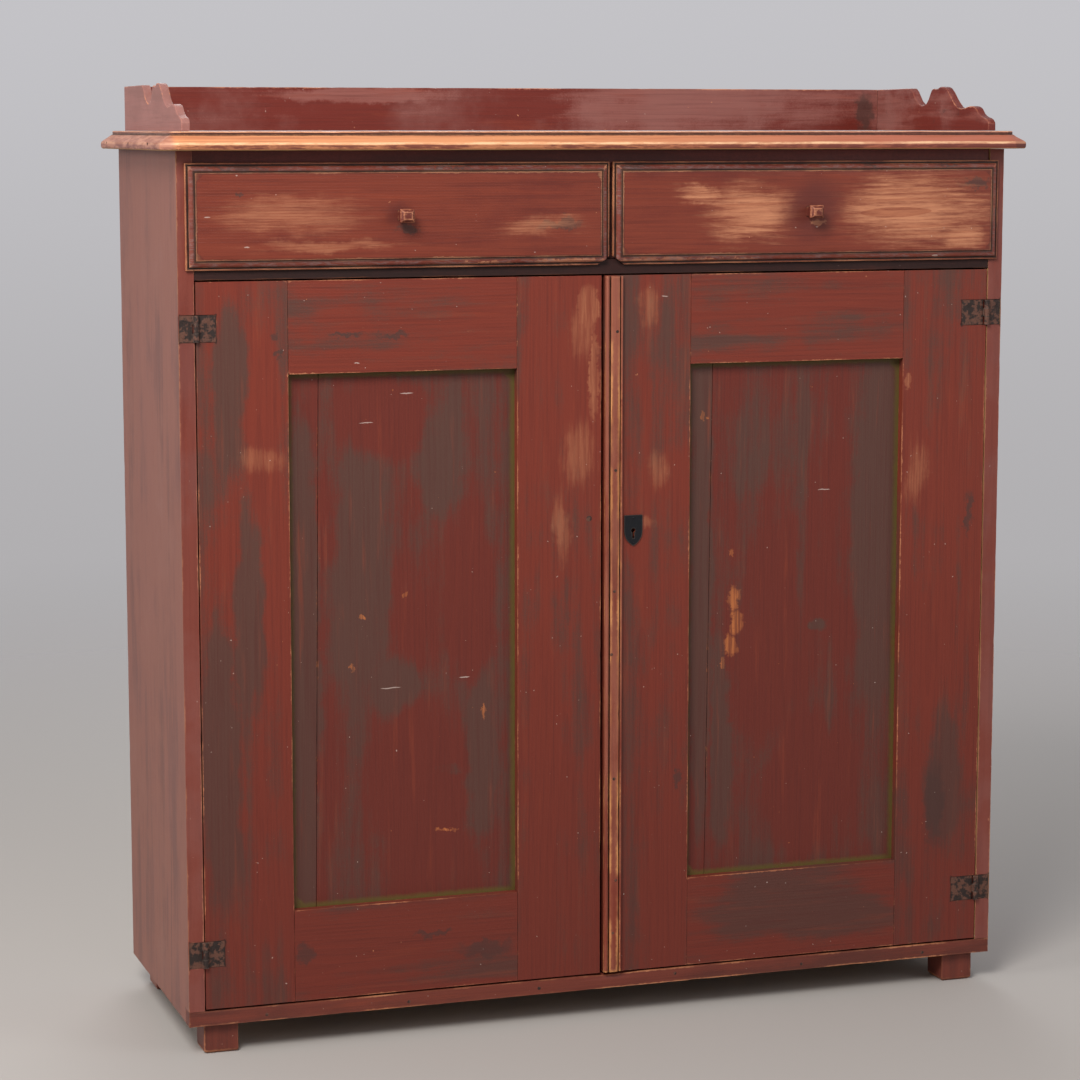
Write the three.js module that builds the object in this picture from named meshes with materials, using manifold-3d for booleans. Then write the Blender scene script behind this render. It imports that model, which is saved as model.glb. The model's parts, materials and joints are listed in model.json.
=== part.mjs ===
// A painted pine cupboard: a gallery on a moulded top, two lipped drawers and two panelled doors.
// Millimetres, +Z up. X runs from the left side to the right, Y from the front to the back.
// Places are counted from the carcase: X from its middle, Y from its front face, Z from its underside.

import * as THREE from "three";
import { mergeVertices } from "three/addons/utils/BufferGeometryUtils.js";
import Module from "manifold-3d";

const wasm = await Module();
wasm.setup();

// Clearances
const fit = 0.3;
const runningGap = 0.5;
const overrun = 5;

// Carcase
const carcaseWidth = 1200;
const carcaseDepth = 393;
const carcaseHeight = 1178;
const sideThickness = 22;
const housingDepth = 6;
const housingSetback = 6;
const railDepth = 22;
const baseHeight = 20.5;
const midRailHeight = 20.5;
const topRailHeight = 24;
const topRailSetback = 3;
const drawerOpeningHeight = 124.5;
const backThickness = 12;
const backRabbet = 10;
const backPlankCount = 4;
const plankGap = 0.6;

// Inside boards
const drawerBoardThickness = 12;
const shelfThickness = 18;
const shelfCount = 2;
const shelfSetback = 48;
const kickerWidth = 60;

// Feet
const footSide = 48;
const footHeight = 42;
const footInset = 22;
const footSetback = 10;
const footChamfer = 3;

// Top board
const topThickness = 25;
const topSideOverhang = 25;
const topFrontOverhang = 33;
const topCantWidth = 23;
const topCantDepth = 14;
const topMouldWidth = 17;
// From the underside up: how far in, as a share of the mould's width, and how high, of the thickness.
const topMouldShares = [
  [0.14, 0],
  [0.04, 0.05],
  [0, 0.14],
  [0, 0.3],
  [0.04, 0.39],
  [0.14, 0.44],
  [0.94, 0.8],
  [1, 0.8],
  [1, 0.97],
  [1.06, 1],
];

// Gallery
const galleryHeight = 64;
const galleryThickness = 12;
const gallerySetback = 8;
const galleryInset = 10;
const galleryBackShare = 0.97;
// The scrolled edge from the front to the back, as shares of the side's length and height.
const galleryScrollShares = [
  [0, 0.17],
  [0.016, 0.26],
  [0.055, 0.315],
  [0.085, 0.4],
  [0.105, 0.5],
  [0.135, 0.548],
  [0.17, 0.54],
  [0.216, 0.497],
  [0.262, 0.53],
  [0.304, 0.7],
  [0.337, 0.87],
  [0.362, 0.965],
  [0.389, 1],
  [0.415, 0.99],
  [0.434, 0.95],
  [0.471, 0.955],
  [0.485, 0.9],
  [0.519, 0.65],
  [0.561, 0.575],
  [0.61, 0.67],
  [0.65, 0.9],
  [0.671, 0.98],
];
const scrollSteps = 2;

// Drawers
const drawerMeetingOffset = 2;
const drawerGap = 5;
const lipSideOverlap = 11.5;
const lipOverlap = 8;
const drawerProud = 10.5;
const drawerMouldWidth = 13.2;
// From the back of the lip forward: how far in, as a share of the mould's width, and how proud.
const drawerMouldShares = [
  [0, 0.05],
  [0, 0.42],
  [0.05, 0.48],
  [0.2, 0.48],
  [0.23, 0.4],
  [0.28, 0.4],
  [0.3, 0.56],
  [0.42, 0.76],
  [0.58, 0.88],
  [0.78, 0.92],
  [0.86, 0.92],
  [0.88, 0.86],
  [0.93, 0.86],
  [0.96, 0.97],
  [1, 1],
];
const wornCornerWidth = 17;
const wornCornerHeight = 12;
const drawerWall = 12;
const drawerFrontBody = 14;
const drawerBackGap = 36;
const drawerSideGap = 1.5;
const drawerHeadroom = 3;
const drawerFloor = 8;
const drawerFloorRaise = 8;
const drawerGroove = 5;

// Knobs
const knobReach = 25;
const knobWidth = 21;
const knobHeight = 19;
const knobTenon = 10;
// From the drawer outward: how far in from the widest outline, as a share of half the height, and reach.
const knobShares = [
  [0.3, 0],
  [0.34, 0.16],
  [0.06, 0.6],
  [0, 0.74],
  [0.05, 0.84],
  [0.34, 0.96],
  [0.5, 1],
];

// Doors
const doorThickness = 24.5;
const doorSideGap = 1.5;
const doorBottomGap = 2.5;
const doorTopGap = 2;
const doorMeetingOffset = -7.6;
const doorMeetingGap = 4.8;
const bottomRailHeight = 127.5;
const topDoorRailHeight = 124.7;
const leftHingeStile = 124;
const leftMeetingStile = 122;
const rightHingeStile = 130;
const rightMeetingStile = 127;
const panelRecess = 13;
const panelThickness = 9;
const grooveDepth = 9;
const panelPlay = 1;
const tenonShoulder = 18;
// Where the gap between a panel's two boards is, from the panel opening's left edge.
const leftCrackTop = 44;
const leftCrackBottom = 34;
const rightCrackTop = 38;
const rightCrackBottom = 30.5;

// Hinges
const hingeHeight = 35.5;
const lowerHingeInset = 76.5;
const upperHingeInset = 61.5;
const leafThickness = 2;
const leafSunk = 0.2;
const barrelRadius = 4;
const barrelProud = 2.5;
const pinRadius = 1.7;
const pinClearance = 0.35;
const frameLeafMargin = 1.5;
const leftDoorLeaf = 22;
const rightDoorLeaf = 34;
const barrelSides = 20;

// Closing strip
const stripWidth = 25.5;
const stripProud = 7;
const stripEndGap = 1;
const stripBaseShare = 0.35;
const beadSteps = 6;

// Lock
const escutcheonWidth = 27;
const escutcheonHeight = 43.5;
const escutcheonThickness = 1.6;
const escutcheonGap = 3.6;
const keyholeHeight = 652.5;
const keyholeRadius = 3.2;
const keyholeDrop = 11;
const keyholeSlot = 3;
const lockCaseWidth = 58;
const lockCaseHeight = 60;
const lockCaseThickness = 12;
const lockCaseMargin = 1.5;
const boltLength = 40;
const boltHeight = 14;
const boltThickness = 5;
const boltSetback = 3;

// Turn button
const buttonLength = 98;
const buttonWidth = 18;
const buttonThickness = 8;
const buttonDrop = 41;
const screwRadius = 4.5;
const screwHead = 2.5;
const roundSteps = 12;

// Colours
const finishes = {
  carcasePaint: { color: 0x7f4f48, roughness: 0.6, metalness: 0 },
  doorPaint: { color: 0x7c3c30, roughness: 0.55, metalness: 0 },
  panelPaint: { color: 0x6b382f, roughness: 0.6, metalness: 0 },
  drawerPaint: { color: 0x8e4f39, roughness: 0.5, metalness: 0 },
  topPaint: { color: 0xb77d57, roughness: 0.5, metalness: 0 },
  galleryPaint: { color: 0x733229, roughness: 0.5, metalness: 0 },
  rawPine: { color: 0xb08a5e, roughness: 0.8, metalness: 0 },
  oldIron: { color: 0x554843, roughness: 0.6, metalness: 0.7 },
  blackIron: { color: 0x26282c, roughness: 0.45, metalness: 0.7 },
};

// Places worked out from the sizes
const hands = { left: -1, right: 1 };
const carcaseOuter = carcaseWidth / 2;
const sideInner = carcaseOuter - sideThickness;
const backFace = carcaseDepth - backThickness - fit;
const drawerLength = carcaseDepth - backThickness - drawerBackGap;
const drawerOpeningTop = carcaseHeight - topRailHeight;
const drawerOpeningBottom = drawerOpeningTop - drawerOpeningHeight;
const midRailBottom = drawerOpeningBottom - midRailHeight;
const drawerBoardBottom = drawerOpeningBottom - drawerBoardThickness;
const dividerWidth = drawerGap + 2 * lipOverlap;
const doorBottom = baseHeight + doorBottomGap;
const doorTop = midRailBottom - doorTopGap;
const panelBottom = doorBottom + bottomRailHeight;
const panelTop = doorTop - topDoorRailHeight;
const panelBack = panelRecess + panelThickness;
const lowerHingeCentre = doorBottom + lowerHingeInset;
const upperHingeCentre = doorTop - upperHingeInset;
const hingeAxis = sideInner - doorSideGap - fit;
const leafBack = leafSunk + leafThickness;
const recessDepth = leafBack + fit;
const frontReach = Math.max(topFrontOverhang, drawerProud + knobReach);
const middleDepth = (carcaseDepth - frontReach) / 2;

// Geometry helpers

// A box between two places on each axis, in either order.
function block(x0, x1, y0, y1, z0, z1) {
  const box = new THREE.BoxGeometry(Math.abs(x1 - x0), Math.abs(y1 - y0), Math.abs(z1 - z0));
  return box.translate((x0 + x1) / 2, (y0 + y1) / 2, (z0 + z1) / 2);
}

// A closed geometry as a solid that can be joined and cut.
function solidOf(geometry) {
  const bare = geometry.clone();
  bare.deleteAttribute("normal");
  bare.deleteAttribute("uv");
  const merged = mergeVertices(bare);
  const mesh = new wasm.Mesh({
    numProp: 3,
    vertProperties: merged.attributes.position.array,
    triVerts: new Uint32Array(merged.index.array),
  });
  return new wasm.Manifold(mesh);
}

// A geometry with others joined to it and then others cut from it.
function shaped(base, joins, cuts) {
  let solid = solidOf(base);
  for (const extra of joins) solid = solid.add(solidOf(extra));
  for (const cut of cuts) solid = solid.subtract(solidOf(cut));
  const mesh = solid.getMesh();
  const geometry = new THREE.BufferGeometry();
  geometry.setAttribute("position", new THREE.BufferAttribute(mesh.vertProperties, mesh.numProp));
  geometry.setIndex(new THREE.BufferAttribute(mesh.triVerts, 1));
  geometry.computeVertexNormals();
  return geometry;
}

// An outline drawn in X and Z, as thick as the way from front to back.
function sheet(shape, front, back, steps = roundSteps) {
  const geometry = new THREE.ExtrudeGeometry(shape, {
    depth: back - front,
    bevelEnabled: false,
    curveSegments: steps,
  });
  const across = new THREE.Vector3(1, 0, 0);
  const up = new THREE.Vector3(0, 0, 1);
  const forward = new THREE.Vector3(0, -1, 0);
  geometry.applyMatrix4(new THREE.Matrix4().makeBasis(across, up, forward));
  return geometry.translate(0, back, 0);
}

function polygon(points) {
  return new THREE.Shape(points.map(([x, y]) => new THREE.Vector2(x, y)));
}

// Where two lines cross, each a start and a direction.
function crossing(a, b) {
  const turn = a.along.cross(b.along);
  const reach = b.start.clone().sub(a.start).cross(b.along) / turn;
  return a.start.clone().addScaledVector(a.along, reach);
}

// A convex outline with each moulded edge moved in by the inset.
function drawnIn(outline, moulded, inset) {
  const lines = outline.map((point, i) => {
    const along = outline[(i + 1) % outline.length].clone().sub(point).normalize();
    const inward = new THREE.Vector2(-along.y, along.x);
    const moved = moulded[i] ? inset : 0;
    return { start: point.clone().addScaledVector(inward, moved), along };
  });
  return lines.map((line, i) => crossing(lines.at(i - 1), line));
}

// A block whose edges follow a moulding: layers of inset and height over a convex outline.
function mouldedBlock(outline, moulded, layers) {
  const count = outline.length;
  const positions = layers.flatMap(([inset, height]) =>
    drawnIn(outline, moulded, inset).flatMap((point) => [point.x, point.y, height]),
  );
  const faces = [];
  for (let layer = 0; layer < layers.length - 1; layer++) {
    for (let i = 0; i < count; i++) {
      const here = layer * count + i;
      const next = layer * count + ((i + 1) % count);
      faces.push(here, next, next + count, here, next + count, here + count);
    }
  }
  const last = (layers.length - 1) * count;
  for (let i = 1; i < count - 1; i++) {
    faces.push(0, i + 1, i, last, last + i, last + i + 1);
  }
  const geometry = new THREE.BufferGeometry();
  geometry.setAttribute("position", new THREE.Float32BufferAttribute(positions, 3));
  geometry.setIndex(faces);
  return geometry;
}

function corners(points) {
  return points.map(([x, y]) => new THREE.Vector2(x, y));
}

// Turns a geometry drawn with Z towards the viewer so that it faces the front.
function facingFront(geometry) {
  const across = new THREE.Vector3(1, 0, 0);
  const up = new THREE.Vector3(0, 0, 1);
  const forward = new THREE.Vector3(0, -1, 0);
  return geometry.applyMatrix4(new THREE.Matrix4().makeBasis(across, up, forward));
}

// An upright cylinder.
function rod(radius, x, y, low, high, sides = barrelSides) {
  const geometry = new THREE.CylinderGeometry(radius, radius, high - low, sides);
  geometry.rotateX(Math.PI / 2);
  return geometry.translate(x, y, (low + high) / 2);
}

const cupboard = new THREE.Group();
const carcase = new THREE.Group();
carcase.position.set(0, -middleDepth, footHeight);
cupboard.add(carcase);

function addPiece(name, finish, geometry) {
  const mesh = new THREE.Mesh(geometry, new THREE.MeshStandardMaterial(finishes[finish]));
  mesh.name = name;
  carcase.add(mesh);
}

// Carcase

// The boards that lie across the carcase and are let into its sides, with their lowest and highest Z.
const clearInside = drawerBoardBottom - baseHeight - shelfCount * shelfThickness;
const shelfPitch = clearInside / (shelfCount + 1) + shelfThickness;
const shelfNames = ["shelf_lower", "shelf_upper"];
const lyingBoards = [
  { name: "bottom_board", front: railDepth + fit, low: 0, high: baseHeight },
  { name: "drawer_board", front: railDepth + fit, low: drawerBoardBottom, high: drawerOpeningBottom },
];
for (let i = 0; i < shelfCount; i++) {
  const low = baseHeight + (i + 1) * shelfPitch - shelfThickness;
  const name = shelfNames[i] ?? `shelf_${i + 1}`;
  lyingBoards.push({ name, front: shelfSetback, low, high: low + shelfThickness });
}

const crossRails = [
  { name: "mid_rail", front: 0, low: midRailBottom, high: drawerOpeningBottom },
  { name: "top_rail", front: topRailSetback, low: drawerOpeningTop, high: carcaseHeight - fit },
];

function makeSide(word, hand) {
  const inner = hand * (sideInner - overrun);
  const housed = hand * (sideInner + housingDepth + fit);
  const outer = hand * (carcaseOuter + overrun);
  const cuts = [
    block(inner, outer, -overrun, railDepth + fit, -overrun, baseHeight + fit),
    block(
      inner,
      hand * (sideInner + backRabbet + fit),
      backFace,
      carcaseDepth + overrun,
      -overrun,
      carcaseHeight + overrun,
    ),
  ];
  for (const board of lyingBoards) {
    const under = board.low > 0 ? board.low - fit : -overrun;
    cuts.push(block(inner, housed, board.front - fit, carcaseDepth + overrun, under, board.high + fit));
  }
  for (const rail of crossRails) {
    const front = rail.front + housingSetback - fit;
    cuts.push(block(inner, housed, front, railDepth + fit, rail.low - fit, rail.high + fit));
  }
  for (const centre of [lowerHingeCentre, upperHingeCentre]) {
    const half = hingeHeight / 2 + fit;
    const edge = hand * (carcaseOuter - frameLeafMargin + fit);
    cuts.push(block(inner, edge, -overrun, recessDepth, centre - half, centre + half));
  }
  const board = block(
    hand * sideInner,
    hand * carcaseOuter,
    0,
    carcaseDepth,
    0,
    carcaseHeight - fit,
  );
  addPiece(`side_${word}`, "carcasePaint", shaped(board, [], cuts));
}

function makeLyingBoards() {
  const reach = sideInner + housingDepth;
  for (const board of lyingBoards) {
    const geometry = block(-reach, reach, board.front, backFace - fit, board.low, board.high);
    addPiece(board.name, "rawPine", geometry);
  }
}

function makeRails() {
  for (const rail of crossRails) {
    const clear = sideInner - fit;
    const reach = sideInner + housingDepth;
    const body = block(-clear, clear, rail.front, railDepth, rail.low, rail.high);
    const tongue = block(-reach, reach, rail.front + housingSetback, railDepth, rail.low, rail.high);
    addPiece(rail.name, "carcasePaint", shaped(body, [tongue], []));
  }
  const strip = block(-carcaseOuter, carcaseOuter, 0, railDepth, 0, baseHeight);
  addPiece("base_rail", "carcasePaint", strip);
}

function makePartition() {
  const left = drawerMeetingOffset - dividerWidth / 2;
  const right = drawerMeetingOffset + dividerWidth / 2;
  const low = drawerOpeningBottom + fit;
  const high = drawerOpeningTop - fit;
  const board = block(left, right, topRailSetback, backFace - fit, low, high);
  addPiece("drawer_partition", "rawPine", board);
  const kicker = block(
    drawerMeetingOffset - kickerWidth / 2,
    drawerMeetingOffset + kickerWidth / 2,
    railDepth + fit,
    backFace - fit,
    drawerOpeningTop,
    carcaseHeight - fit,
  );
  addPiece("drawer_kicker", "rawPine", kicker);
}

function makeBack() {
  const reach = sideInner + backRabbet;
  const pitch = (2 * reach + plankGap) / backPlankCount;
  for (let i = 0; i < backPlankCount; i++) {
    const left = -reach + i * pitch;
    const right = left + pitch - plankGap;
    const plank = block(left, right, backFace + fit, carcaseDepth, 0, carcaseHeight - fit);
    addPiece(`back_plank_${i + 1}`, "rawPine", plank);
  }
}

function makeFeet() {
  const ends = { front: footSetback, back: carcaseDepth - footSetback - footSide };
  const half = footSide / 2;
  for (const [word, hand] of Object.entries(hands)) {
    for (const [end, start] of Object.entries(ends)) {
      const outline = corners([
        [-half, -half],
        [half, -half],
        [half, half],
        [-half, half],
      ]);
      const layers = [
        [footChamfer, -footHeight],
        [0, -footHeight + footChamfer],
        [0, -fit],
      ];
      const foot = mouldedBlock(outline, [true, true, true, true], layers);
      foot.translate(hand * (carcaseOuter - footInset - half), start + half, 0);
      addPiece(`foot_${end}_${word}`, "carcasePaint", foot);
    }
  }
}

// Top board and gallery

function makeTop() {
  const side = carcaseOuter + topSideOverhang;
  const front = -topFrontOverhang;
  const outline = corners([
    [-side, carcaseDepth],
    [-side, front + topCantDepth],
    [-side + topCantWidth, front],
    [side - topCantWidth, front],
    [side, front + topCantDepth],
    [side, carcaseDepth],
  ]);
  const moulded = outline.map((_, i) => i < outline.length - 1);
  const layers = topMouldShares.map(([inset, height]) => [
    inset * topMouldWidth,
    carcaseHeight + height * topThickness,
  ]);
  addPiece("top_board", "topPaint", mouldedBlock(outline, moulded, layers));
}

function makeGallery() {
  const low = carcaseHeight + topThickness + fit;
  const length = carcaseDepth - gallerySetback;
  const outer = carcaseOuter - galleryInset;
  const profile = new THREE.Shape();
  profile.moveTo(0, 0);
  const [first, ...rest] = galleryScrollShares.map(
    ([along, up]) => new THREE.Vector2(along * length, up * galleryHeight),
  );
  profile.lineTo(first.x, first.y);
  profile.splineThru(rest);
  profile.lineTo(length, galleryBackShare * galleryHeight);
  profile.lineTo(length, 0);
  profile.closePath();
  const back = new THREE.Vector3(0, 1, 0);
  const up = new THREE.Vector3(0, 0, 1);
  const across = new THREE.Vector3(1, 0, 0);
  for (const [word, hand] of Object.entries(hands)) {
    const side = new THREE.ExtrudeGeometry(profile, {
      depth: galleryThickness,
      bevelEnabled: false,
      curveSegments: scrollSteps,
    });
    side.applyMatrix4(new THREE.Matrix4().makeBasis(back, up, across));
    const left = hand > 0 ? outer - galleryThickness : -outer;
    side.translate(left, gallerySetback, low);
    addPiece(`gallery_side_${word}`, "galleryPaint", side);
  }
  const reach = outer - galleryThickness - fit;
  const board = block(
    -reach,
    reach,
    carcaseDepth - galleryThickness,
    carcaseDepth,
    low,
    low + galleryBackShare * galleryHeight,
  );
  addPiece("gallery_back", "galleryPaint", board);
}

// Drawers

function makeDrawer(word, hand) {
  const openOuter = hand * sideInner;
  const openInner = drawerMeetingOffset + (hand * dividerWidth) / 2;
  const lipOuter = hand * (sideInner + lipSideOverlap);
  const lipInner = drawerMeetingOffset + (hand * drawerGap) / 2;
  const lipLow = drawerOpeningBottom - lipOverlap;
  const lipHigh = drawerOpeningTop + lipOverlap;
  const low = drawerOpeningBottom + runningGap;
  const high = drawerOpeningTop - drawerHeadroom;
  const boxOuter = openOuter - hand * drawerSideGap;
  const boxInner = openInner + hand * drawerSideGap;
  const bodyOuter = boxOuter - hand * (drawerWall + fit);
  const bodyInner = boxInner + hand * (drawerWall + fit);
  const floorLow = low + drawerFloorRaise;
  const floorHigh = floorLow + drawerFloor;
  const knobX = (lipOuter + lipInner) / 2;
  const knobZ = (lipLow + lipHigh) / 2;

  const left = Math.min(lipOuter, lipInner);
  const right = Math.max(lipOuter, lipInner);
  const outline = corners([
    [left, lipLow],
    [right, lipLow],
    [right, lipHigh],
    [left, lipHigh],
  ]);
  const layers = drawerMouldShares.map(([inset, proud]) => [
    inset * drawerMouldWidth,
    proud * drawerProud,
  ]);
  const lip = facingFront(mouldedBlock(outline, [true, true, true, true], layers));
  const body = block(bodyOuter, bodyInner, -drawerProud / 2, drawerFrontBody, low, high);
  const wornOuter = lipInner + hand * wornCornerWidth;
  const worn = sheet(
    polygon([
      [wornOuter + hand * wornCornerWidth, lipLow - wornCornerHeight],
      [lipInner - hand * wornCornerWidth, lipLow - wornCornerHeight],
      [lipInner - hand * wornCornerWidth, lipLow + 2 * wornCornerHeight],
    ]),
    -drawerProud - overrun,
    0,
  );
  const groove = block(
    bodyOuter,
    bodyInner,
    drawerFrontBody - drawerGroove,
    drawerFrontBody + overrun,
    floorLow - fit,
    floorHigh + fit,
  );
  const half = knobTenon / 2 + fit;
  const socket = block(
    knobX - half,
    knobX + half,
    -drawerProud - overrun,
    drawerFrontBody + overrun,
    knobZ - half,
    knobZ + half,
  );
  addPiece(`drawer_${word}_front`, "drawerPaint", shaped(lip, [body], [worn, groove, socket]));

  const walls = { outer: [boxOuter, -hand], inner: [boxInner, hand] };
  for (const [end, [face, inward]] of Object.entries(walls)) {
    const wall = block(face, face + inward * drawerWall, 0, drawerLength, low, high);
    const inside = face + inward * (drawerWall - drawerGroove);
    const cut = block(
      inside,
      inside + inward * (drawerGroove + overrun),
      -overrun,
      drawerLength + overrun,
      floorLow - fit,
      floorHigh + fit,
    );
    addPiece(`drawer_${word}_${end}_side`, "rawPine", shaped(wall, [], [cut]));
  }

  const floorReach = drawerGroove - 2 * fit;
  const floor = block(
    bodyOuter + hand * (fit + floorReach),
    bodyInner - hand * (fit + floorReach),
    drawerFrontBody - floorReach,
    drawerLength,
    floorLow,
    floorHigh,
  );
  addPiece(`drawer_${word}_bottom`, "rawPine", floor);
  const back = block(
    bodyOuter,
    bodyInner,
    drawerLength - drawerWall,
    drawerLength,
    floorHigh + fit,
    high,
  );
  addPiece(`drawer_${word}_back`, "rawPine", back);
  makeKnob(word, knobX, knobZ);
}

function makeKnob(word, x, z) {
  const width = knobWidth / 2;
  const height = knobHeight / 2;
  const outline = corners([
    [-width, -height],
    [width, -height],
    [width, height],
    [-width, height],
  ]);
  const layers = knobShares.map(([inset, reach]) => [inset * height, fit + reach * (knobReach - fit)]);
  const head = facingFront(mouldedBlock(outline, [true, true, true, true], layers));
  head.translate(x, -drawerProud, z);
  const half = knobTenon / 2;
  const middle = -drawerProud - knobReach / 2;
  const tenon = block(x - half, x + half, middle, drawerFrontBody, z - half, z + half);
  addPiece(`drawer_${word}_knob`, "drawerPaint", shaped(head, [tenon], []));
}

// Doors

// One leaf of a hinge: a plate, its knuckles on the barrel's line, and the wraps that join them.
function hingeLeaf(hand, centre, plate, levels, joins, cuts) {
  const axis = hand * hingeAxis;
  const third = hingeHeight / 3;
  const rounds = [];
  for (const level of levels) {
    const low = centre - hingeHeight / 2 + level * third + fit / 2;
    const high = low + third - fit;
    rounds.push(rod(barrelRadius, axis, -barrelProud, low, high));
    rounds.push(block(axis, plate[0], -barrelProud / 2, leafBack, low, high));
  }
  const low = centre - hingeHeight / 2;
  const base = block(plate[0], plate[1], leafSunk, leafBack, low, low + hingeHeight);
  return shaped(base, [...rounds, ...joins], cuts);
}

function makeHinges(word, hand, leafWidth) {
  const clear = barrelRadius + fit + fit;
  const levels = { lower: lowerHingeCentre, upper: upperHingeCentre };
  for (const [place, centre] of Object.entries(levels)) {
    const axis = hand * hingeAxis;
    const low = centre - hingeHeight / 2;
    const high = centre + hingeHeight / 2;
    const pin = rod(pinRadius, axis, -barrelProud, low + fit, high - fit);
    const framePlate = [hand * (hingeAxis + clear), hand * (carcaseOuter - frameLeafMargin)];
    const frameLeaf = hingeLeaf(hand, centre, framePlate, [0, 2], [pin], []);
    addPiece(`hinge_${word}_${place}_frame_leaf`, "oldIron", frameLeaf);
    const doorPlate = [hand * (hingeAxis - clear), hand * (hingeAxis - clear - leafWidth)];
    const bore = rod(pinRadius + pinClearance, axis, -barrelProud, low - overrun, high + overrun);
    const doorLeaf = hingeLeaf(hand, centre, doorPlate, [1], [], [bore]);
    addPiece(`hinge_${word}_${place}_door_leaf`, "oldIron", doorLeaf);
  }
}

function keyholeCut(x, front, back) {
  const circle = new THREE.Shape();
  circle.absarc(x, keyholeHeight, keyholeRadius, 0, 2 * Math.PI);
  const slot = block(
    x - keyholeSlot / 2,
    x + keyholeSlot / 2,
    front,
    back,
    keyholeHeight - keyholeDrop,
    keyholeHeight,
  );
  return shaped(sheet(circle, front, back), [slot], []);
}

function makeDoor(word, hand, door) {
  const hingeEdge = hand * (sideInner - doorSideGap);
  const meetEdge = doorMeetingOffset + (hand * doorMeetingGap) / 2;
  const hingeInner = hingeEdge - hand * door.hingeStile;
  const meetInner = meetEdge + hand * door.meetingStile;
  const tenonFront = panelRecess;
  const tenonBack = panelBack;

  const rails = [
    { name: "bottom_rail", low: doorBottom, high: panelBottom, inner: panelBottom, side: -1 },
    { name: "top_rail", low: panelTop, high: doorTop, inner: panelTop, side: 1 },
  ];
  const mortises = rails.map((rail) =>
    block(
      hingeEdge + hand * overrun,
      meetEdge - hand * overrun,
      tenonFront - fit,
      tenonBack + fit,
      rail.low + tenonShoulder - fit,
      rail.high - tenonShoulder + fit,
    ),
  );
  const grooves = block(
    hingeInner + hand * grooveDepth,
    meetInner - hand * grooveDepth,
    panelRecess - fit,
    panelBack + fit,
    panelBottom - grooveDepth,
    panelTop + grooveDepth,
  );

  const recesses = [lowerHingeCentre, upperHingeCentre].map((centre) => {
    const half = hingeHeight / 2 + fit;
    const reach = hingeAxis - barrelRadius - 3 * fit - door.leafWidth;
    return block(hingeEdge + hand * overrun, hand * reach, -overrun, recessDepth, centre - half, centre + half);
  });
  const hingeStile = block(hingeEdge, hingeInner, 0, doorThickness, doorBottom, doorTop);
  addPiece(
    `door_${word}_hinge_stile`,
    "doorPaint",
    shaped(hingeStile, [], [...mortises, grooves, ...recesses]),
  );
  const meetStile = block(meetEdge, meetInner, 0, doorThickness, doorBottom, doorTop);
  addPiece(
    `door_${word}_meeting_stile`,
    "doorPaint",
    shaped(meetStile, [], [...mortises, grooves, ...door.stileCuts]),
  );

  for (const rail of rails) {
    const body = block(
      hingeInner - hand * fit,
      meetInner + hand * fit,
      0,
      doorThickness,
      rail.low,
      rail.high,
    );
    const tenon = block(
      hingeEdge - hand * fit,
      meetEdge + hand * fit,
      tenonFront,
      tenonBack,
      rail.low + tenonShoulder,
      rail.high - tenonShoulder,
    );
    const groove = block(
      hingeEdge + hand * overrun,
      meetEdge - hand * overrun,
      panelRecess - fit,
      panelBack + fit,
      rail.inner - grooveDepth,
      rail.inner + grooveDepth,
    );
    addPiece(`door_${word}_${rail.name}`, "doorPaint", shaped(body, [tenon], [groove]));
  }

  makePanel(word, Math.min(hingeInner, meetInner), Math.max(hingeInner, meetInner), door);
  makeHinges(word, hand, door.leafWidth);
  return meetEdge;
}

function makePanel(word, openLeft, openRight, door) {
  const tongue = grooveDepth - panelPlay;
  const left = openLeft - tongue;
  const right = openRight + tongue;
  const low = panelBottom - tongue;
  const high = panelTop + tongue;
  const slope = (door.crackTop - door.crackBottom) / (panelTop - panelBottom);
  const lowCrack = openLeft + door.crackBottom - slope * tongue;
  const highCrack = openLeft + door.crackTop + slope * tongue;
  const narrow = polygon([
    [left, low],
    [lowCrack, low],
    [highCrack, high],
    [left, high],
  ]);
  const wide = polygon([
    [lowCrack + plankGap, low],
    [right, low],
    [right, high],
    [highCrack + plankGap, high],
  ]);
  addPiece(`door_${word}_narrow_panel_board`, "panelPaint", sheet(narrow, panelRecess, panelBack));
  addPiece(`door_${word}_wide_panel_board`, "panelPaint", sheet(wide, panelRecess, panelBack));
}

// The reeded strip down the right door's meeting edge: a bead, a flat between two quirks, and a thin bead.
function makeStrip(meetEdge) {
  const back = -fit;
  const base = -stripProud * stripBaseShare;
  const front = -stripProud;
  const beadShare = 0.22;
  const quirkShare = 0.06;
  const thinBeadShare = 0.15;
  const bead = stripWidth * beadShare;
  const quirk = stripWidth * quirkShare;
  const thinBead = stripWidth * thinBeadShare;
  const flatStart = bead + quirk;
  const flatEnd = stripWidth - thinBead - quirk;
  const outline = new THREE.Shape();
  outline.moveTo(0, back);
  outline.lineTo(stripWidth, back);
  outline.lineTo(stripWidth, base - thinBead / 2);
  outline.absarc(stripWidth - thinBead / 2, base - thinBead / 2, thinBead / 2, 0, -Math.PI, true);
  outline.lineTo(stripWidth - thinBead, base);
  outline.lineTo(flatEnd, base);
  outline.lineTo(flatEnd, front);
  outline.lineTo(flatStart, front);
  outline.lineTo(flatStart, base);
  outline.lineTo(bead, base);
  outline.lineTo(bead, front + bead / 2);
  outline.absarc(bead / 2, front + bead / 2, bead / 2, 0, -Math.PI, true);
  outline.closePath();
  const strip = new THREE.ExtrudeGeometry(outline, {
    depth: doorTop - doorBottom - 2 * stripEndGap,
    bevelEnabled: false,
    curveSegments: beadSteps,
  });
  strip.translate(meetEdge, 0, doorBottom + stripEndGap);
  addPiece("closing_strip", "doorPaint", strip);
}

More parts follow.
